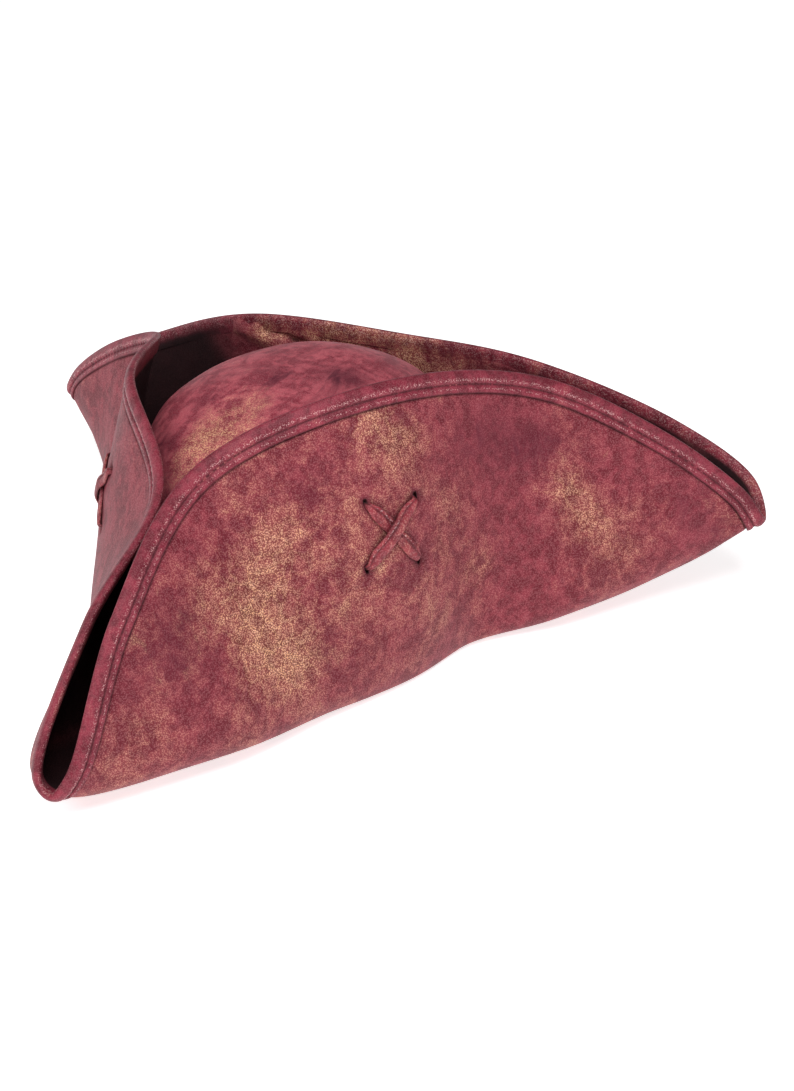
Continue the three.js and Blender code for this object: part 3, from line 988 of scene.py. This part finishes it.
@dataclass
class Crown:
    """Seamless domed crown, a leather shell open below."""

    sides: int = 224
    rings: int = 64
    rows: tuple[tuple[float, float], ...] = (
        (1, 0), (1.018, 0.2), (1.012, 0.45), (0.96, 0.66),
        (0.84, 0.82), (0.635, 0.92), (0.36, 0.98), (0.1, 1))
    centre_height: float = 40.0
    still_below: float = 0.06
    uneven_above: float = 0.3
    waves: Waves = Waves(0.55, 55, 3)
    folds: tuple[Fold, ...] = (
        Fold((-48, -40, 112), (-14, -14, 134), 9, 0.8),
        Fold((-34, -58, 112), (2, -30, 133), 8, -0.7),
    )

    def build(self, material: bpy.types.Material) -> bpy.types.Object:
        """Returns the crown's piece."""
        outline = GuideCurve(np.array([(girth, rise, 0) for girth, rise in self.rows]), closed=False)
        profile = outline.at(np.linspace(0, 1, self.rings))
        ahead = heading(np.arange(self.sides) * 360 / self.sides)
        mesh = PlainMesh()
        outer = self._skin(mesh, profile, ahead, 0.0)
        inner = self._skin(mesh, profile, ahead, SIZES.crown_wall)
        mesh.quads(outer[0], closed=True)
        mesh.fan(outer[0][:, -1], outer[1])
        mesh.quads(inner[0], flip=True, closed=True)
        mesh.fan(inner[0][:, -1], inner[1], flip=True)
        mesh.quads(np.stack([inner[0][:, 0], outer[0][:, 0]], -1), closed=True)
        piece = mesh.build("crown_shell")
        dress(piece, material, "crown_leather", "crown")
        return piece

    def _skin(self, mesh: PlainMesh, profile: np.ndarray, ahead: np.ndarray,
              inset: float) -> tuple[np.ndarray, int]:
        """Adds one skin of the dome.

        Args:
            mesh: The mesh that the skin goes to.
            profile: Girth and rise at each ring.
            ahead: Direction of each side.
            inset: How far inside the outer skin it lies.

        Returns:
            The grid of its vertices and the vertex at its top.
        """
        foot = SIZES.brim_wall + SIZES.gap
        girth, rise = profile[None, :, 0], profile[None, :, 1]
        plain = np.stack(np.broadcast_arrays(
            ahead[:, :1] * (SIZES.head_half_width * girth - inset),
            ahead[:, 1:2] * (SIZES.head_half_depth * girth - inset),
            foot + rise * (SIZES.crown_height - inset)), -1)
        centre = np.array([0, 0, self.centre_height])
        share = smooth(rise, self.still_below, self.uneven_above)
        lift = unevenness(self.waves, self.folds, plain) * share
        points = plain + unit(plain - centre) * lift[..., None]
        top = np.array([0, 0, foot + SIZES.crown_height - inset])
        top_lift = float(unevenness(self.waves, self.folds, top))
        tip = mesh.add((top + np.array([0, 0, top_lift]))[None], **painted(top[None]))
        return mesh.add(points, **painted(points)), int(tip[0])


@dataclass
class Brim:
    """Round brim turned up into three flaps, with soft folds, a seam below the hem and lace holes."""

    columns: int = 720
    seat_rows: int = 4
    flap_rows: int = 40
    hem_span: float = 5.0
    hem_step: float = 0.45
    tuck: float = 0.8
    seat_back: float = 100.0
    seam_back: float = 10.0
    seam_width: float = 0.6
    seam_depth: float = 0.3
    # Painted shade in the seam's groove
    seam_shade: float = 0.75
    darkest: float = 0.9
    still_below: float = 0.05
    uneven_above: float = 0.3
    waves: Waves = Waves(0.45, 62, 11)
    folds: tuple[Fold, ...] = (
        Fold((-96, 108, 106), (-72, 112, 98), 5.5, -3.0),
        Fold((-90, 109, 112), (-58, 113, 100), 2.4, 2.8),
    )
    hole_dent: float = 0.8
    hole_dent_width: float = 2.6
    hole_half_length: float = 1.9
    hole_half_width: float = 0.85
    hole_reach: float = 5.0
    hole_rings: int = 6
    ring_bunching: float = 0.8
    ring_thinning: float = 0.35

    def lift(self, points: np.ndarray, up: np.ndarray) -> np.ndarray:
        """Returns how far the leather's middle stands out from its plain shape."""
        return unevenness(self.waves, self.folds, points) * smooth(up, self.still_below, self.uneven_above)

    def skin(self, around: np.ndarray, up: np.ndarray, side: Face,
             half: Optional[np.ndarray] = None) -> np.ndarray:
        """Returns points of one face of the brim.

        Args:
            around: Fractions round the hat.
            up: Fractions up from the seat.
            side: The face.
            half: Distance from the leather's middle, if it isn't half its wall.

        Returns:
            The points.
        """
        plain = SHAPE.point(around, up)
        out = SHAPE.frames(around, up)["out"]
        away = np.full_like(up, SIZES.brim_wall / 2) if half is None else half
        if side is Face.OUTER:
            back = SHAPE.back_of(around, up)
            away = away - self.seam_depth * bell(back, self.seam_back, self.seam_width)
            for hole_around, hole_up in HOLES:
                x, y = (around - hole_around) * RATES[0], (up - hole_up) * RATES[1]
                away = away - self.hole_dent * np.exp(-(x**2 + y**2) / self.hole_dent_width**2)
        return plain + out * (self.lift(plain, up) + side.value * away)[..., None]

    def build(self, material: bpy.types.Material) -> bpy.types.Object:
        """Returns the brim's piece."""
        around = SHAPE.even_columns(self.columns)
        hem = SHAPE.up_at_back(around, SIZES.binding_width - self.tuck)
        near = SHAPE.up_at_back(around, SIZES.binding_width + self.hem_span)
        field_rows = np.linspace(0, 1, self.flap_rows, endpoint=False)
        hem_rows = np.linspace(0, 1, int(self.hem_span / self.hem_step))
        up = np.concatenate([near[:, None] * field_rows, near[:, None] + (hem - near)[:, None] * hem_rows,
                             np.ones((len(around), 1))], 1)
        grid = np.broadcast_to(around[:, None], up.shape)
        mesh = PlainMesh()
        skins = {}
        for side in Face:
            flap = self.skin(grid, up, side)
            level = np.array([0, 0, -side.value * SIZES.brim_wall / 2])
            flap[:, 0] = SHAPE.guides["foot"].at(around) + level
            opening = SHAPE.guides["opening"].at(around) + level
            share = np.linspace(0, 1, self.seat_rows, endpoint=False)[None, :, None]
            points = np.concatenate([opening[:, None] * (1 - share) + flap[:, :1] * share, flap], 1)
            paint = painted(points)
            seat = np.zeros((len(around), self.seat_rows))
            back = np.concatenate([seat + self.seat_back, SHAPE.back_of(grid, up)], 1)
            # Painted shade: wells on the inner face, and the seam's groove and beside the laces on the outer
            # face
            if side is Face.INNER:
                paint["dark"] = np.maximum(paint["dark"], shaded(around[:, None], back))
            else:
                line = bell(back, self.seam_back, self.seam_width)
                under = np.concatenate([seat, strap_shade(grid, up)], 1)
                paint["dark"] = np.clip(self.seam_shade * line + under, 0, self.darkest)
            skins[side] = mesh.add(points, **paint)
        skip = np.zeros((self.columns, up.shape[1] + self.seat_rows - 1), bool)
        blocks = [self._block(around, up, hole) for hole in HOLES]
        for columns, rows in blocks:
            skip[np.ix_(columns[:-1], rows[:-1] + self.seat_rows)] = True
        mesh.quads(skins[Face.OUTER], closed=True, skip=skip)
        mesh.quads(skins[Face.INNER], closed=True, flip=True, skip=skip)
        for first, second, row in ((Face.OUTER, Face.INNER, -1), (Face.INNER, Face.OUTER, 0)):
            mesh.quads(np.stack([skins[first][:, row], skins[second][:, row]], -1), closed=True)
        for (columns, rows), hole in zip(blocks, HOLES):
            self._hole(mesh, skins, around, up, columns, rows, hole)
        piece = mesh.build("brim_shell")
        dress(piece, material, "brim_leather", "brim")
        return piece

    def _block(self, around: np.ndarray, up: np.ndarray, hole: Pair) -> tuple[np.ndarray, np.ndarray]:
        """Returns the columns and rows of the grid round a lace hole."""
        column = int(np.abs(around - hole[0]).argmin())
        row = int(np.abs(up[column] - hole[1]).argmin())
        steps = (around[column + 1] - around[column], up[column, row + 1] - up[column, row])
        wide, tall = (max(2, round(self.hole_reach / (rate * step))) for rate, step in zip(RATES, steps))
        return np.arange(column - wide, column + wide + 1), np.arange(row - tall, row + tall + 1)

    def _hole(self, mesh: PlainMesh, skins: dict[Face, np.ndarray], around: np.ndarray, up: np.ndarray,
              columns: np.ndarray, rows: np.ndarray, hole: Pair) -> None:
        """Closes the grid round a lace hole with rings that roll over into the hole.

        Args:
            mesh: The brim's mesh.
            skins: Vertex grids of the two faces.
            around: The grid's columns.
            up: The grid's rows at each column.
            columns: Columns of the block round the hole.
            rows: Rows of the block round the hole.
            hole: Middle of the hole, as (around, up).
        """
        edge = ([(c, rows[0]) for c in columns[:-1]] + [(columns[-1], r) for r in rows[:-1]]
                + [(c, rows[-1]) for c in columns[:0:-1]] + [(columns[0], r) for r in rows[:0:-1]])
        start = np.array([(around[c], up[c, r]) for c, r in edge])
        local = (start - np.array(hole)) * np.array(RATES)
        angle = np.arctan2(local[:, 1], local[:, 0])
        slit = np.stack([self.hole_half_width * np.cos(angle), self.hole_half_length * np.sin(angle)], -1)
        share = np.linspace(0, 1, self.hole_rings + 1)[1:] ** self.ring_bunching
        half = SIZES.brim_wall / 2
        middle = None
        for side in Face:
            ring_before = np.array([skins[side][c, r + self.seat_rows] for c, r in edge])
            for number, s in enumerate(share):
                place = (local * (1 - s) + slit * s) / np.array(RATES) + np.array(hole)
                last = number == len(share) - 1
                depth = half * (0.0 if last else 1 - self.ring_thinning * s**3)
                if last and middle is not None:
                    ring = middle
                else:
                    points = self.skin(place[:, 0], place[:, 1], side, np.full(len(place), depth))
                    if last:
                        plain = SHAPE.point(place[:, 0], place[:, 1])
                        out = SHAPE.frames(place[:, 0], place[:, 1])["out"]
                        points = plain + out * self.lift(plain, place[:, 1])[:, None]
                    # Painted shade deepening into the hole and beside the laces; the foil fades out into the
                    # hole
                    paint = painted(points)
                    under = strap_shade(place[:, 0], place[:, 1]) * (side is Face.OUTER)
                    ring = mesh.add(points, foil=paint["foil"] - s**4, dirt=paint["dirt"],
                                    dark=np.maximum(s**8, under))
                if last:
                    middle = ring
                mesh.quads(np.stack([ring_before, ring], -1), closed=True, flip=side is Face.INNER)
                ring_before = ring


def hole_places() -> list[Pair]:
    """Returns all eight lace holes, as (around, up)."""
    crosses = [SHAPE.lace_holes(side) for side in Side]
    return [hole for cross in crosses for pair in cross.values() for hole in pair]


HOLES = hole_places()
_AT_CROSS = SHAPE.frames(np.array(SHAPE.around_at_turn(SIZES.lace_turn)), np.array(SIZES.lace_up))
RATES = (float(_AT_CROSS["along_rate"]), float(_AT_CROSS["rise_rate"]))


# Painted shadow beside the laces
STRAP_SHADE = 0.5
STRAP_SHADE_REACH = 4.0


def strap_shade(around: np.ndarray, up: np.ndarray) -> np.ndarray:
    """Returns the painted shadow on the leather below and beside the nearest lace."""
    nearest = np.full(np.shape(up), np.inf)
    for first, second in zip(HOLES[0::2], HOLES[1::2]):
        start, line = np.array(first) * RATES, (np.array(second) - np.array(first)) * RATES
        place = np.stack([around * RATES[0], up * RATES[1]], -1) - start
        share = np.clip(place @ line / (line @ line), 0, 1)
        nearest = np.minimum(nearest, np.linalg.norm(place - share[..., None] * line, axis=-1))
    return STRAP_SHADE * np.exp(-((nearest / STRAP_SHADE_REACH) ** 4))


@dataclass
class Hem:
    """Folded edge strip over the rim, with a stitched groove and a low welt beside it."""

    columns: int = 1900
    pitch: float = 4.2
    pucker: float = 0.2
    swell: float = 0.1
    crest_back: float = 3.6
    groove: float = 5.6
    welt_back: float = 7.7
    foot: float = 9.6
    outer_steps: int = 29
    outer_skin: tuple[Pair, ...] = (
        (9.75, 1.4), (9.45, 1.8), (8.7, 2.1), (7.7, 2.22), (6.8, 2.1), (6.1, 1.8), (5.6, 1.6), (5.1, 1.85),
        (4.4, 2.4), (3.3, 2.72), (2.0, 2.65), (0.8, 2.3), (-0.3, 1.8), (-1.15, 1.05), (-1.45, 0))
    inner_steps: int = 15
    inner_skin: tuple[Pair, ...] = (
        (-1.45, 0), (-1.15, -1.0), (-0.4, -1.6), (0.7, -1.9), (2.5, -1.9), (4.4, -1.8), (6.2, -1.65),
        (8.1, -1.42), (8.75, -1.3))
    inner_step: float = 0.7
    step_around: Pair = (0.72, 0.78)
    step_back: Pair = (0.5, 7.5)
    step_end: Pair = (8.7, 0.5)
    channel_half: float = 1.31
    channel: tuple[Pair, ...] = (
        (8.6, -1.3), (4, -1.3), (0.2, -1.3), (-0.7, -0.7),
        (-0.7, 0.7), (0.2, 1.4), (4, 1.45), (8.6, 1.38))
    pucker_width: float = 1.5
    pucker_range: Pair = (0.3, 1.5)
    swell_stitches: float = 9
    swell_back: Pair = (-1.9, 2.0)
    random_seed: int = 5
    random_steps: int = 400
    measuring_steps: int = 4001
    path_points: int = 1400
    groove_out: float = 1.5
    groove_width: float = 0.5
    # Painted shade in the groove and along the foot of the inner step
    groove_shade: float = 0.6
    foot_width: float = 0.35
    foot_shade: float = 0.5
    # Painted highlights along the crest and the welt, and on the lit upper part of the inner face
    crest_width: float = 0.9
    crest_glint: float = 0.55
    welt_width: float = 0.5
    welt_glint: float = 0.5
    inner_glint: float = 0.32
    inner_glint_back: Pair = (6.5, 4)
    outside_rub: float = -0.3
    dirt_share: float = 0.5
    thread_out: float = 1.62
    thread_radius: float = 0.2
    stitch_length: float = 2.9

    def line_strength(self, back: np.ndarray) -> np.ndarray:
        """Returns the painted shade in the strip's groove and at its foot."""
        groove = self.groove_shade * bell(back, self.groove, self.groove_width)
        return np.clip(groove + self.foot_shade * bell(back, self.foot, self.foot_width), 0, 1)

    def stitch_phase(self, around: np.ndarray) -> np.ndarray:
        """Returns the stitch number, with its fraction, at fractions round the hat."""
        fine = np.linspace(0, 1, self.measuring_steps)
        steps = np.diff(SHAPE.near_rim(fine, self.groove, self.groove_out), axis=0)
        run = np.concatenate([[0], np.cumsum(np.linalg.norm(steps, axis=1))])
        stitches = round(run[-1] / self.pitch)
        return np.interp(around, fine, run) / run[-1] * stitches

    def build(self, material: bpy.types.Material) -> bpy.types.Object:
        """Returns the strip's piece."""
        around = SHAPE.even_columns(self.columns)
        skins = [GuideCurve(np.array([(back, out, 0) for back, out in row]), closed=False)
                 .at(np.linspace(0, 1, steps))[:, :2]
                 for row, steps in ((self.outer_skin, self.outer_steps),
                                    (self.inner_skin, self.inner_steps))]
        skin = np.concatenate([skins[0], skins[1][1:]])
        section = np.concatenate([skin, np.array(self.channel)])
        back, out = section[None, :, 0], section[None, :, 1]
        outside = (np.arange(len(section)) < len(skins[0]))[None]
        phase = self.stitch_phase(around)[:, None]
        rng = np.random.default_rng(self.random_seed)
        knots = np.arange(self.random_steps + 1)
        uneven = np.interp(phase % self.random_steps, knots, rng.uniform(*self.pucker_range, len(knots)))
        groove = bell(back, self.groove, self.pucker_width) * outside
        wobble = self.pucker * uneven * np.cos(2 * math.pi * phase) * groove
        drift = np.interp(phase / self.swell_stitches, knots, rng.normal(size=len(knots)))
        swell = self.swell * drift * outside * smooth(back, *self.swell_back)
        end, soft = self.step_end
        inner_face = smooth(back, *self.step_back) * smooth(end - back, 0, soft) * (out < -self.channel_half)
        out = out - self.inner_step * smooth(around, *self.step_around)[:, None] * inner_face
        points = SHAPE.near_rim(around[:, None], back, out + wobble + swell)
        paint, bare = painted(points), painted(points, gold=0.0)
        # Painted highlights on the crest, the welt and the inner face's upper part
        shine = (self.crest_glint * bell(back, self.crest_back, self.crest_width)
                 + self.welt_glint * bell(back, self.welt_back, self.welt_width))
        end, soft = self.inner_glint_back
        glint = shine * outside + self.inner_glint * smooth(end - back, 0, soft) * ~outside
        # Painted shade: lines on the outside, wells on the inside
        dark = np.where(outside, self.line_strength(back), shaded(around[:, None], back))
        mesh = PlainMesh()
        grid = mesh.add(points, foil=bare["foil"] + np.where(outside, self.outside_rub, paint["foil"]),
                        dirt=self.dirt_share * paint["dirt"], glint=glint,
                        dark=np.maximum(dark, paint["dark"] * ~outside))
        mesh.quads(np.concatenate([grid, grid[:, :1]], 1), closed=True)
        piece = mesh.build("hem_strip")
        dress(piece, material, "binding_leather", "edge_binding")
        return piece

    def stitches(self, material: bpy.types.Material) -> bpy.types.Object:
        """Returns the row of stitches in the strip's groove, made by Geometry Nodes."""
        curve = bpy.data.curves.new("stitch_path", "CURVE")
        curve.dimensions = "3D"
        around = SHAPE.even_columns(self.path_points)
        count = round(float(self.stitch_phase(np.array([1.0]))[0]))
        points = SHAPE.near_rim(around, self.groove, self.thread_out) * MM + OFFSET
        spline = curve.splines.new("POLY")
        spline.points.add(len(points) - 1)
        spline.points.foreach_set("co", np.concatenate([points, np.ones((len(points), 1))], 1).ravel())
        spline.use_cyclic_u = True
        carrier = placed("stitch_path", curve)
        modifier = carrier.modifiers.new("stitches", "NODES")
        modifier.node_group = StitchTree().build(material)
        sizes = {"Count": count, "Length": self.stitch_length * MM, "Radius": self.thread_radius * MM}
        for item in modifier.node_group.interface.items_tree:
            if item.name in sizes:
                modifier[item.identifier] = sizes[item.name]
        bpy.context.view_layer.update()
        laid = carrier.evaluated_get(bpy.context.evaluated_depsgraph_get())
        mesh = bpy.data.meshes.new_from_object(laid)
        bpy.data.objects.remove(carrier)
        mesh.name = "hem_stitches"
        piece = placed("hem_stitches", smoothed(mesh))
        dress(piece, material, "binding_leather")
        return piece


class StitchTree(NodeTree):
    """Geometry Nodes tree that lays one short thread at each stitch of a path."""

    def __init__(self) -> None:
        """Starts an empty tree with its named inputs."""
        self.tree = bpy.data.node_groups.new("stitches_along_path", "GeometryNodeTree")
        face = self.tree.interface
        face.new_socket("Path", in_out="INPUT", socket_type="NodeSocketGeometry")
        for name, kind, value in (("Count", "NodeSocketInt", 300), ("Length", "NodeSocketFloat", 0.003),
                                  ("Radius", "NodeSocketFloat", 0.0003)):
            face.new_socket(name, in_out="INPUT", socket_type=kind).default_value = value
        face.new_socket("Stitches", in_out="OUTPUT", socket_type="NodeSocketGeometry")

    def build(self, material: bpy.types.Material) -> bpy.types.GeometryNodeTree:
        """Returns the tree, which dresses the stitches with a material."""
        given = self.node("NodeGroupInput")
        places = self.node("GeometryNodeCurveToPoints", {"mode": "COUNT"},
                           {"Curve": given.outputs["Path"], "Count": given.outputs["Count"]})
        thread = self.node("GeometryNodeMeshUVSphere", None, {"Segments": 8, "Rings": 6, "Radius": 0.5})
        wide = self.double(given.outputs["Radius"])
        size = self.node("ShaderNodeCombineXYZ", None, {"X": wide, "Y": wide, "Z": given.outputs["Length"]})
        laid = self.node("GeometryNodeInstanceOnPoints", None,
                         {"Points": places.outputs["Points"], "Instance": thread.outputs["Mesh"],
                          "Rotation": places.outputs["Rotation"], "Scale": size.outputs[0]})
        real = self.node("GeometryNodeRealizeInstances", None, {"Geometry": laid.outputs[0]})
        dressed = self.node("GeometryNodeSetMaterial", None,
                            {"Geometry": real.outputs[0], "Material": material})
        self.node("NodeGroupOutput", None, {"Stitches": dressed.outputs[0]})
        return self.tree

    def double(self, socket: bpy.types.NodeSocket) -> bpy.types.NodeSocket:
        """Returns twice a number."""
        return self.node("ShaderNodeMath", {"operation": "MULTIPLY"}, {0: socket, 1: 2.0}).outputs[0]


@dataclass
class Lace:
    """Folded leather strap from one hole to another, puffed between them and creased lengthwise."""

    name: str
    node: str
    holes: list[Pair]
    over: bool
    stations: int = 72
    around_section: int = 28
    width: float = 7.2
    thickness: float = 2.7
    overrun: float = 0.012
    crease_at: float = 0.36
    crease_width: float = 0.13
    crease_depth: float = 0.8
    crease_light: float = 0.2
    bridge: float = 2.2
    sag: float = 0.25
    dive_depth: float = 2.2
    dive_share: float = 0.07
    stand: float = 0.36
    lump_share: Pair = (0.2, 0.42)
    leaf_share: Pair = (-0.03, 0.2)
    pinch: float = 0.22
    pinch_width: float = 0.09
    end_width: float = 0.3
    end_thickness: float = 0.55
    top_power: float = 0.75
    flat_below: float = 0.7
    # Painted shade in the crease, at the ends and on the underside; painted highlight beside the crease
    crease_shade: float = 0.9
    crease_glint: float = 0.9
    crease_glint_width: float = 0.08
    side_shade: float = 0.75
    side_edge: Pair = (-0.35, 0.5)
    top_foil: float = 0.05
    darkest: float = 0.95

    def build(self, material: bpy.types.Material) -> bpy.types.Object:
        """Returns the strap's piece."""
        share = np.linspace(0, 1, self.stations)
        start, end = np.array(self.holes[0]), np.array(self.holes[1])
        place = start + (end - start) * (share * (1 + 2 * self.overrun) - self.overrun)[:, None]
        from_end = np.minimum(share, 1 - share)
        out = SHAPE.frames(place[:, 0], place[:, 1])["out"]
        dive = smooth(from_end, 0, self.dive_share)
        stand = SIZES.brim_wall / 2 + self.thickness * self.stand
        rise = -self.dive_depth + (stand + self.dive_depth) * dive
        lump = smooth(from_end, *self.lump_share) * (self.bridge if self.over else -self.sag)
        centre = SHAPE.point(place[:, 0], place[:, 1]) + out * (rise + lump)[:, None]
        across = unit(np.cross(out, centre[-1] - centre[0]))
        tangent = unit(np.gradient(centre, axis=0))
        upward = unit(np.cross(tangent, across))
        if np.mean(np.sum(upward * out, -1)) < 0:
            upward = -upward
        leaf = smooth(from_end, *self.leaf_share)
        pinch = 1 - (0 if self.over else self.pinch) * bell(share, 0.5, self.pinch_width)
        half_width = self.width / 2 * (self.end_width + (1 - self.end_width) * leaf) * pinch
        half_thick = self.thickness / 2 * (self.end_thickness + (1 - self.end_thickness) * leaf)
        angle = np.arange(self.around_section) * 2 * math.pi / self.around_section
        x, top = np.cos(angle), np.sin(angle)
        bulge = np.sign(top) * np.abs(top) ** self.top_power * np.where(top > 0, 1.0, self.flat_below)
        crease = self.crease_depth * bell(x, self.crease_at, self.crease_width) * (top > 0)
        lift = half_thick[:, None] * bulge - (crease * leaf[:, None]) * self.thickness / 2
        points = (centre[:, None] + across[:, None] * (half_width[:, None] * x)[..., None]
                  + upward[:, None] * lift[..., None])
        mesh = PlainMesh()
        # Painted shade in the crease and where the ends dive into the holes; less foil there too
        shade = self.crease_shade * crease + (1 - dive)[:, None]
        # Painted highlight beside the crease
        lit = bell(x, self.crease_at + self.crease_light, self.crease_glint_width) * (top > 0)
        shine = self.crease_glint * lit * leaf[:, None]
        # Painted shade on the strap's underside
        side_shade = self.side_shade * smooth(-top, *self.side_edge)
        grid = mesh.add(points, foil=self.top_foil - shade, glint=shine,
                        dark=np.clip(shade + side_shade, 0, self.darkest))
        flip = bool(np.dot(np.cross(across[1], upward[1]), tangent[1]) > 0)
        mesh.quads(np.concatenate([grid, grid[:, :1]], 1), flip=flip)
        for end_row, turned in ((0, flip), (-1, not flip)):
            tip = mesh.add(np.mean(points[end_row], axis=0)[None])
            mesh.fan(grid[end_row], int(tip[0]), flip=turned)
        piece = mesh.build(self.name)
        dress(piece, material, "lace_leather", self.node)
        return piece


@dataclass(frozen=True)
class Softbox:
    """A soft square light that looks at the hat, in metres and watts."""

    name: str
    place: Place
    size: float
    power: float

    def hang(self, aim: Vector) -> None:
        """Puts the light in the scene."""
        data = bpy.data.lights.new(self.name, "AREA")
        data.shape, data.size, data.energy = "SQUARE", self.size, self.power
        light = placed(self.name, data)
        light.location = self.place
        light.rotation_euler = (aim - Vector(self.place)).to_track_quat("-Z", "Y").to_euler()


@dataclass
class Studio:
    """Pale floor, soft lights and the camera at the photograph's angle."""

    azimuth: float = 26.53
    elevation: float = 26.59
    roll: float = -0.724
    distance: float = 1167.8
    focal_pixels: float = 2238.5
    aim: Place = (49.23, -22.37, 60.0)
    clip: Pair = (0.01, 100)
    floor_half: float = 8.0
    lit_height: float = 0.07
    room_strength: float = 0.22
    lights: tuple[Softbox, ...] = (
        Softbox("softbox_key", (0.5, -0.8, 1.5), 0.8, 18),
        Softbox("softbox_front", (-0.3, -1.4, 1.2), 0.6, 8),
        Softbox("softbox_left", (-1.4, -0.1, 0.5), 0.4, 2.4),
        Softbox("softbox_right", (1.5, -0.3, 0.6), 0.7, 3),
    )

    def camera(self) -> bpy.types.Object:
        """Returns the scene's camera, fitted to the photograph's outlines."""
        a, e, w = (math.radians(value) for value in (self.azimuth, self.elevation, self.roll))
        back = Vector((math.sin(a) * math.cos(e), -math.cos(a) * math.cos(e), math.sin(e)))
        right = Vector((math.cos(a), math.sin(a), 0))
        up = back.cross(right)
        across, upward, height = self.aim
        target = Vector((0, 0, height)) + across * right + upward * up
        turned_right = math.cos(w) * right + math.sin(w) * up
        turned_up = -math.sin(w) * right + math.cos(w) * up
        data = bpy.data.cameras.new("camera")
        data.sensor_width = SENSOR
        data.lens = self.focal_pixels * SENSOR / max(PHOTO_WIDTH, PHOTO_HEIGHT)
        data.clip_start, data.clip_end = self.clip
        camera = placed("camera", data)
        place = (target + back * self.distance) * MM + Vector(OFFSET)
        turn = Matrix((turned_right, turned_up, back)).transposed().to_4x4()
        camera.matrix_world = Matrix.Translation(place) @ turn
        bpy.context.scene.camera = camera
        return camera

    def floor(self) -> bpy.types.Object:
        """Returns the pale floor."""
        h = self.floor_half
        mesh = bpy.data.meshes.new("floor")
        mesh.from_pydata([(-h, -h, 0), (h, -h, 0), (h, h, 0), (-h, h, 0)], [], [(0, 1, 2, 3)])
        floor = placed("floor", mesh)
        mesh.materials.append(PaperFinish("pale_paper").material())
        floor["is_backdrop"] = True
        return floor

    def build(self) -> None:
        """Builds floor, lights, surroundings and camera."""
        self.floor()
        for light in self.lights:
            light.hang(Vector((0, 0, self.lit_height)))
        world = bpy.data.worlds.new("white_room")
        world.use_nodes = True
        ground = world.node_tree.nodes["Background"]
        ground.inputs["Color"].default_value = (1, 1, 1, 1)
        ground.inputs["Strength"].default_value = self.room_strength
        bpy.context.scene.world = world
        bpy.context.scene.view_settings.view_transform = "Standard"
        self.camera()


def corners() -> list[list[float]]:
    """Returns the shown object's lowest and highest corner as plain lists."""
    return [list(corner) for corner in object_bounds()]


def main() -> None:
    """Builds the hat round its frame and the studio about it."""
    logging.basicConfig(level=logging.INFO, format="%(name)s %(message)s")
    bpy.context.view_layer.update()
    Studio().build()
    # The crown's deep and wine are lighter and pinker than the brim's: painted light for the top light and
    # sheen on the crown
    crown_leather = LeatherFinish("crown_leather", sparkle=0.25, sheen=0.03, flow_turn=(0, 0, -15),
                                  flow_scale=(1.0, 0.25, 0.6), smudge_share=0.5, grain_depth=0.00014,
                                  deep=srgb(140, 52, 66), wine=srgb(196, 92, 104), valley_share=0.2)
    brim_leather = LeatherFinish("brim_leather")
    hem_leather = LeatherFinish("hem_leather", sparkle=0.5, deep=srgb(104, 30, 44), wine=srgb(142, 50, 66),
                                valley_share=0.15, rose_share=0.25, shine=0.2, roughness=0.45, grain=0.6,
                                glint=srgb(236, 190, 188), grain_depth=0.00012, smudge_share=0.25)
    lace_leather = LeatherFinish("lace_leather", foil_share=0.6, grain=0.9, cloud=12, smudge_share=0.2,
                                 deep=srgb(112, 26, 38), wine=srgb(150, 48, 60), valley_share=0.15,
                                 shine=0.35)
    thread = ThreadFinish("dark_thread")
    Crown().build(crown_leather.material())
    Brim().build(brim_leather.material())
    hem = Hem()
    hem.build(hem_leather.material())
    hem.stitches(thread.material())
    strap = lace_leather.material()
    for side, word in ((Side.LEFT, "left"), (Side.RIGHT, "right")):
        cross = SHAPE.lace_holes(side)
        Lace(f"strap_{word}_under", f"lace_{word}_under", cross["falling"], False).build(strap)
        Lace(f"strap_{word}_over", f"lace_{word}_over", cross["rising"], True).build(strap)
    LOG.info("box %s", corners())


if __name__ == "__main__":
    main()
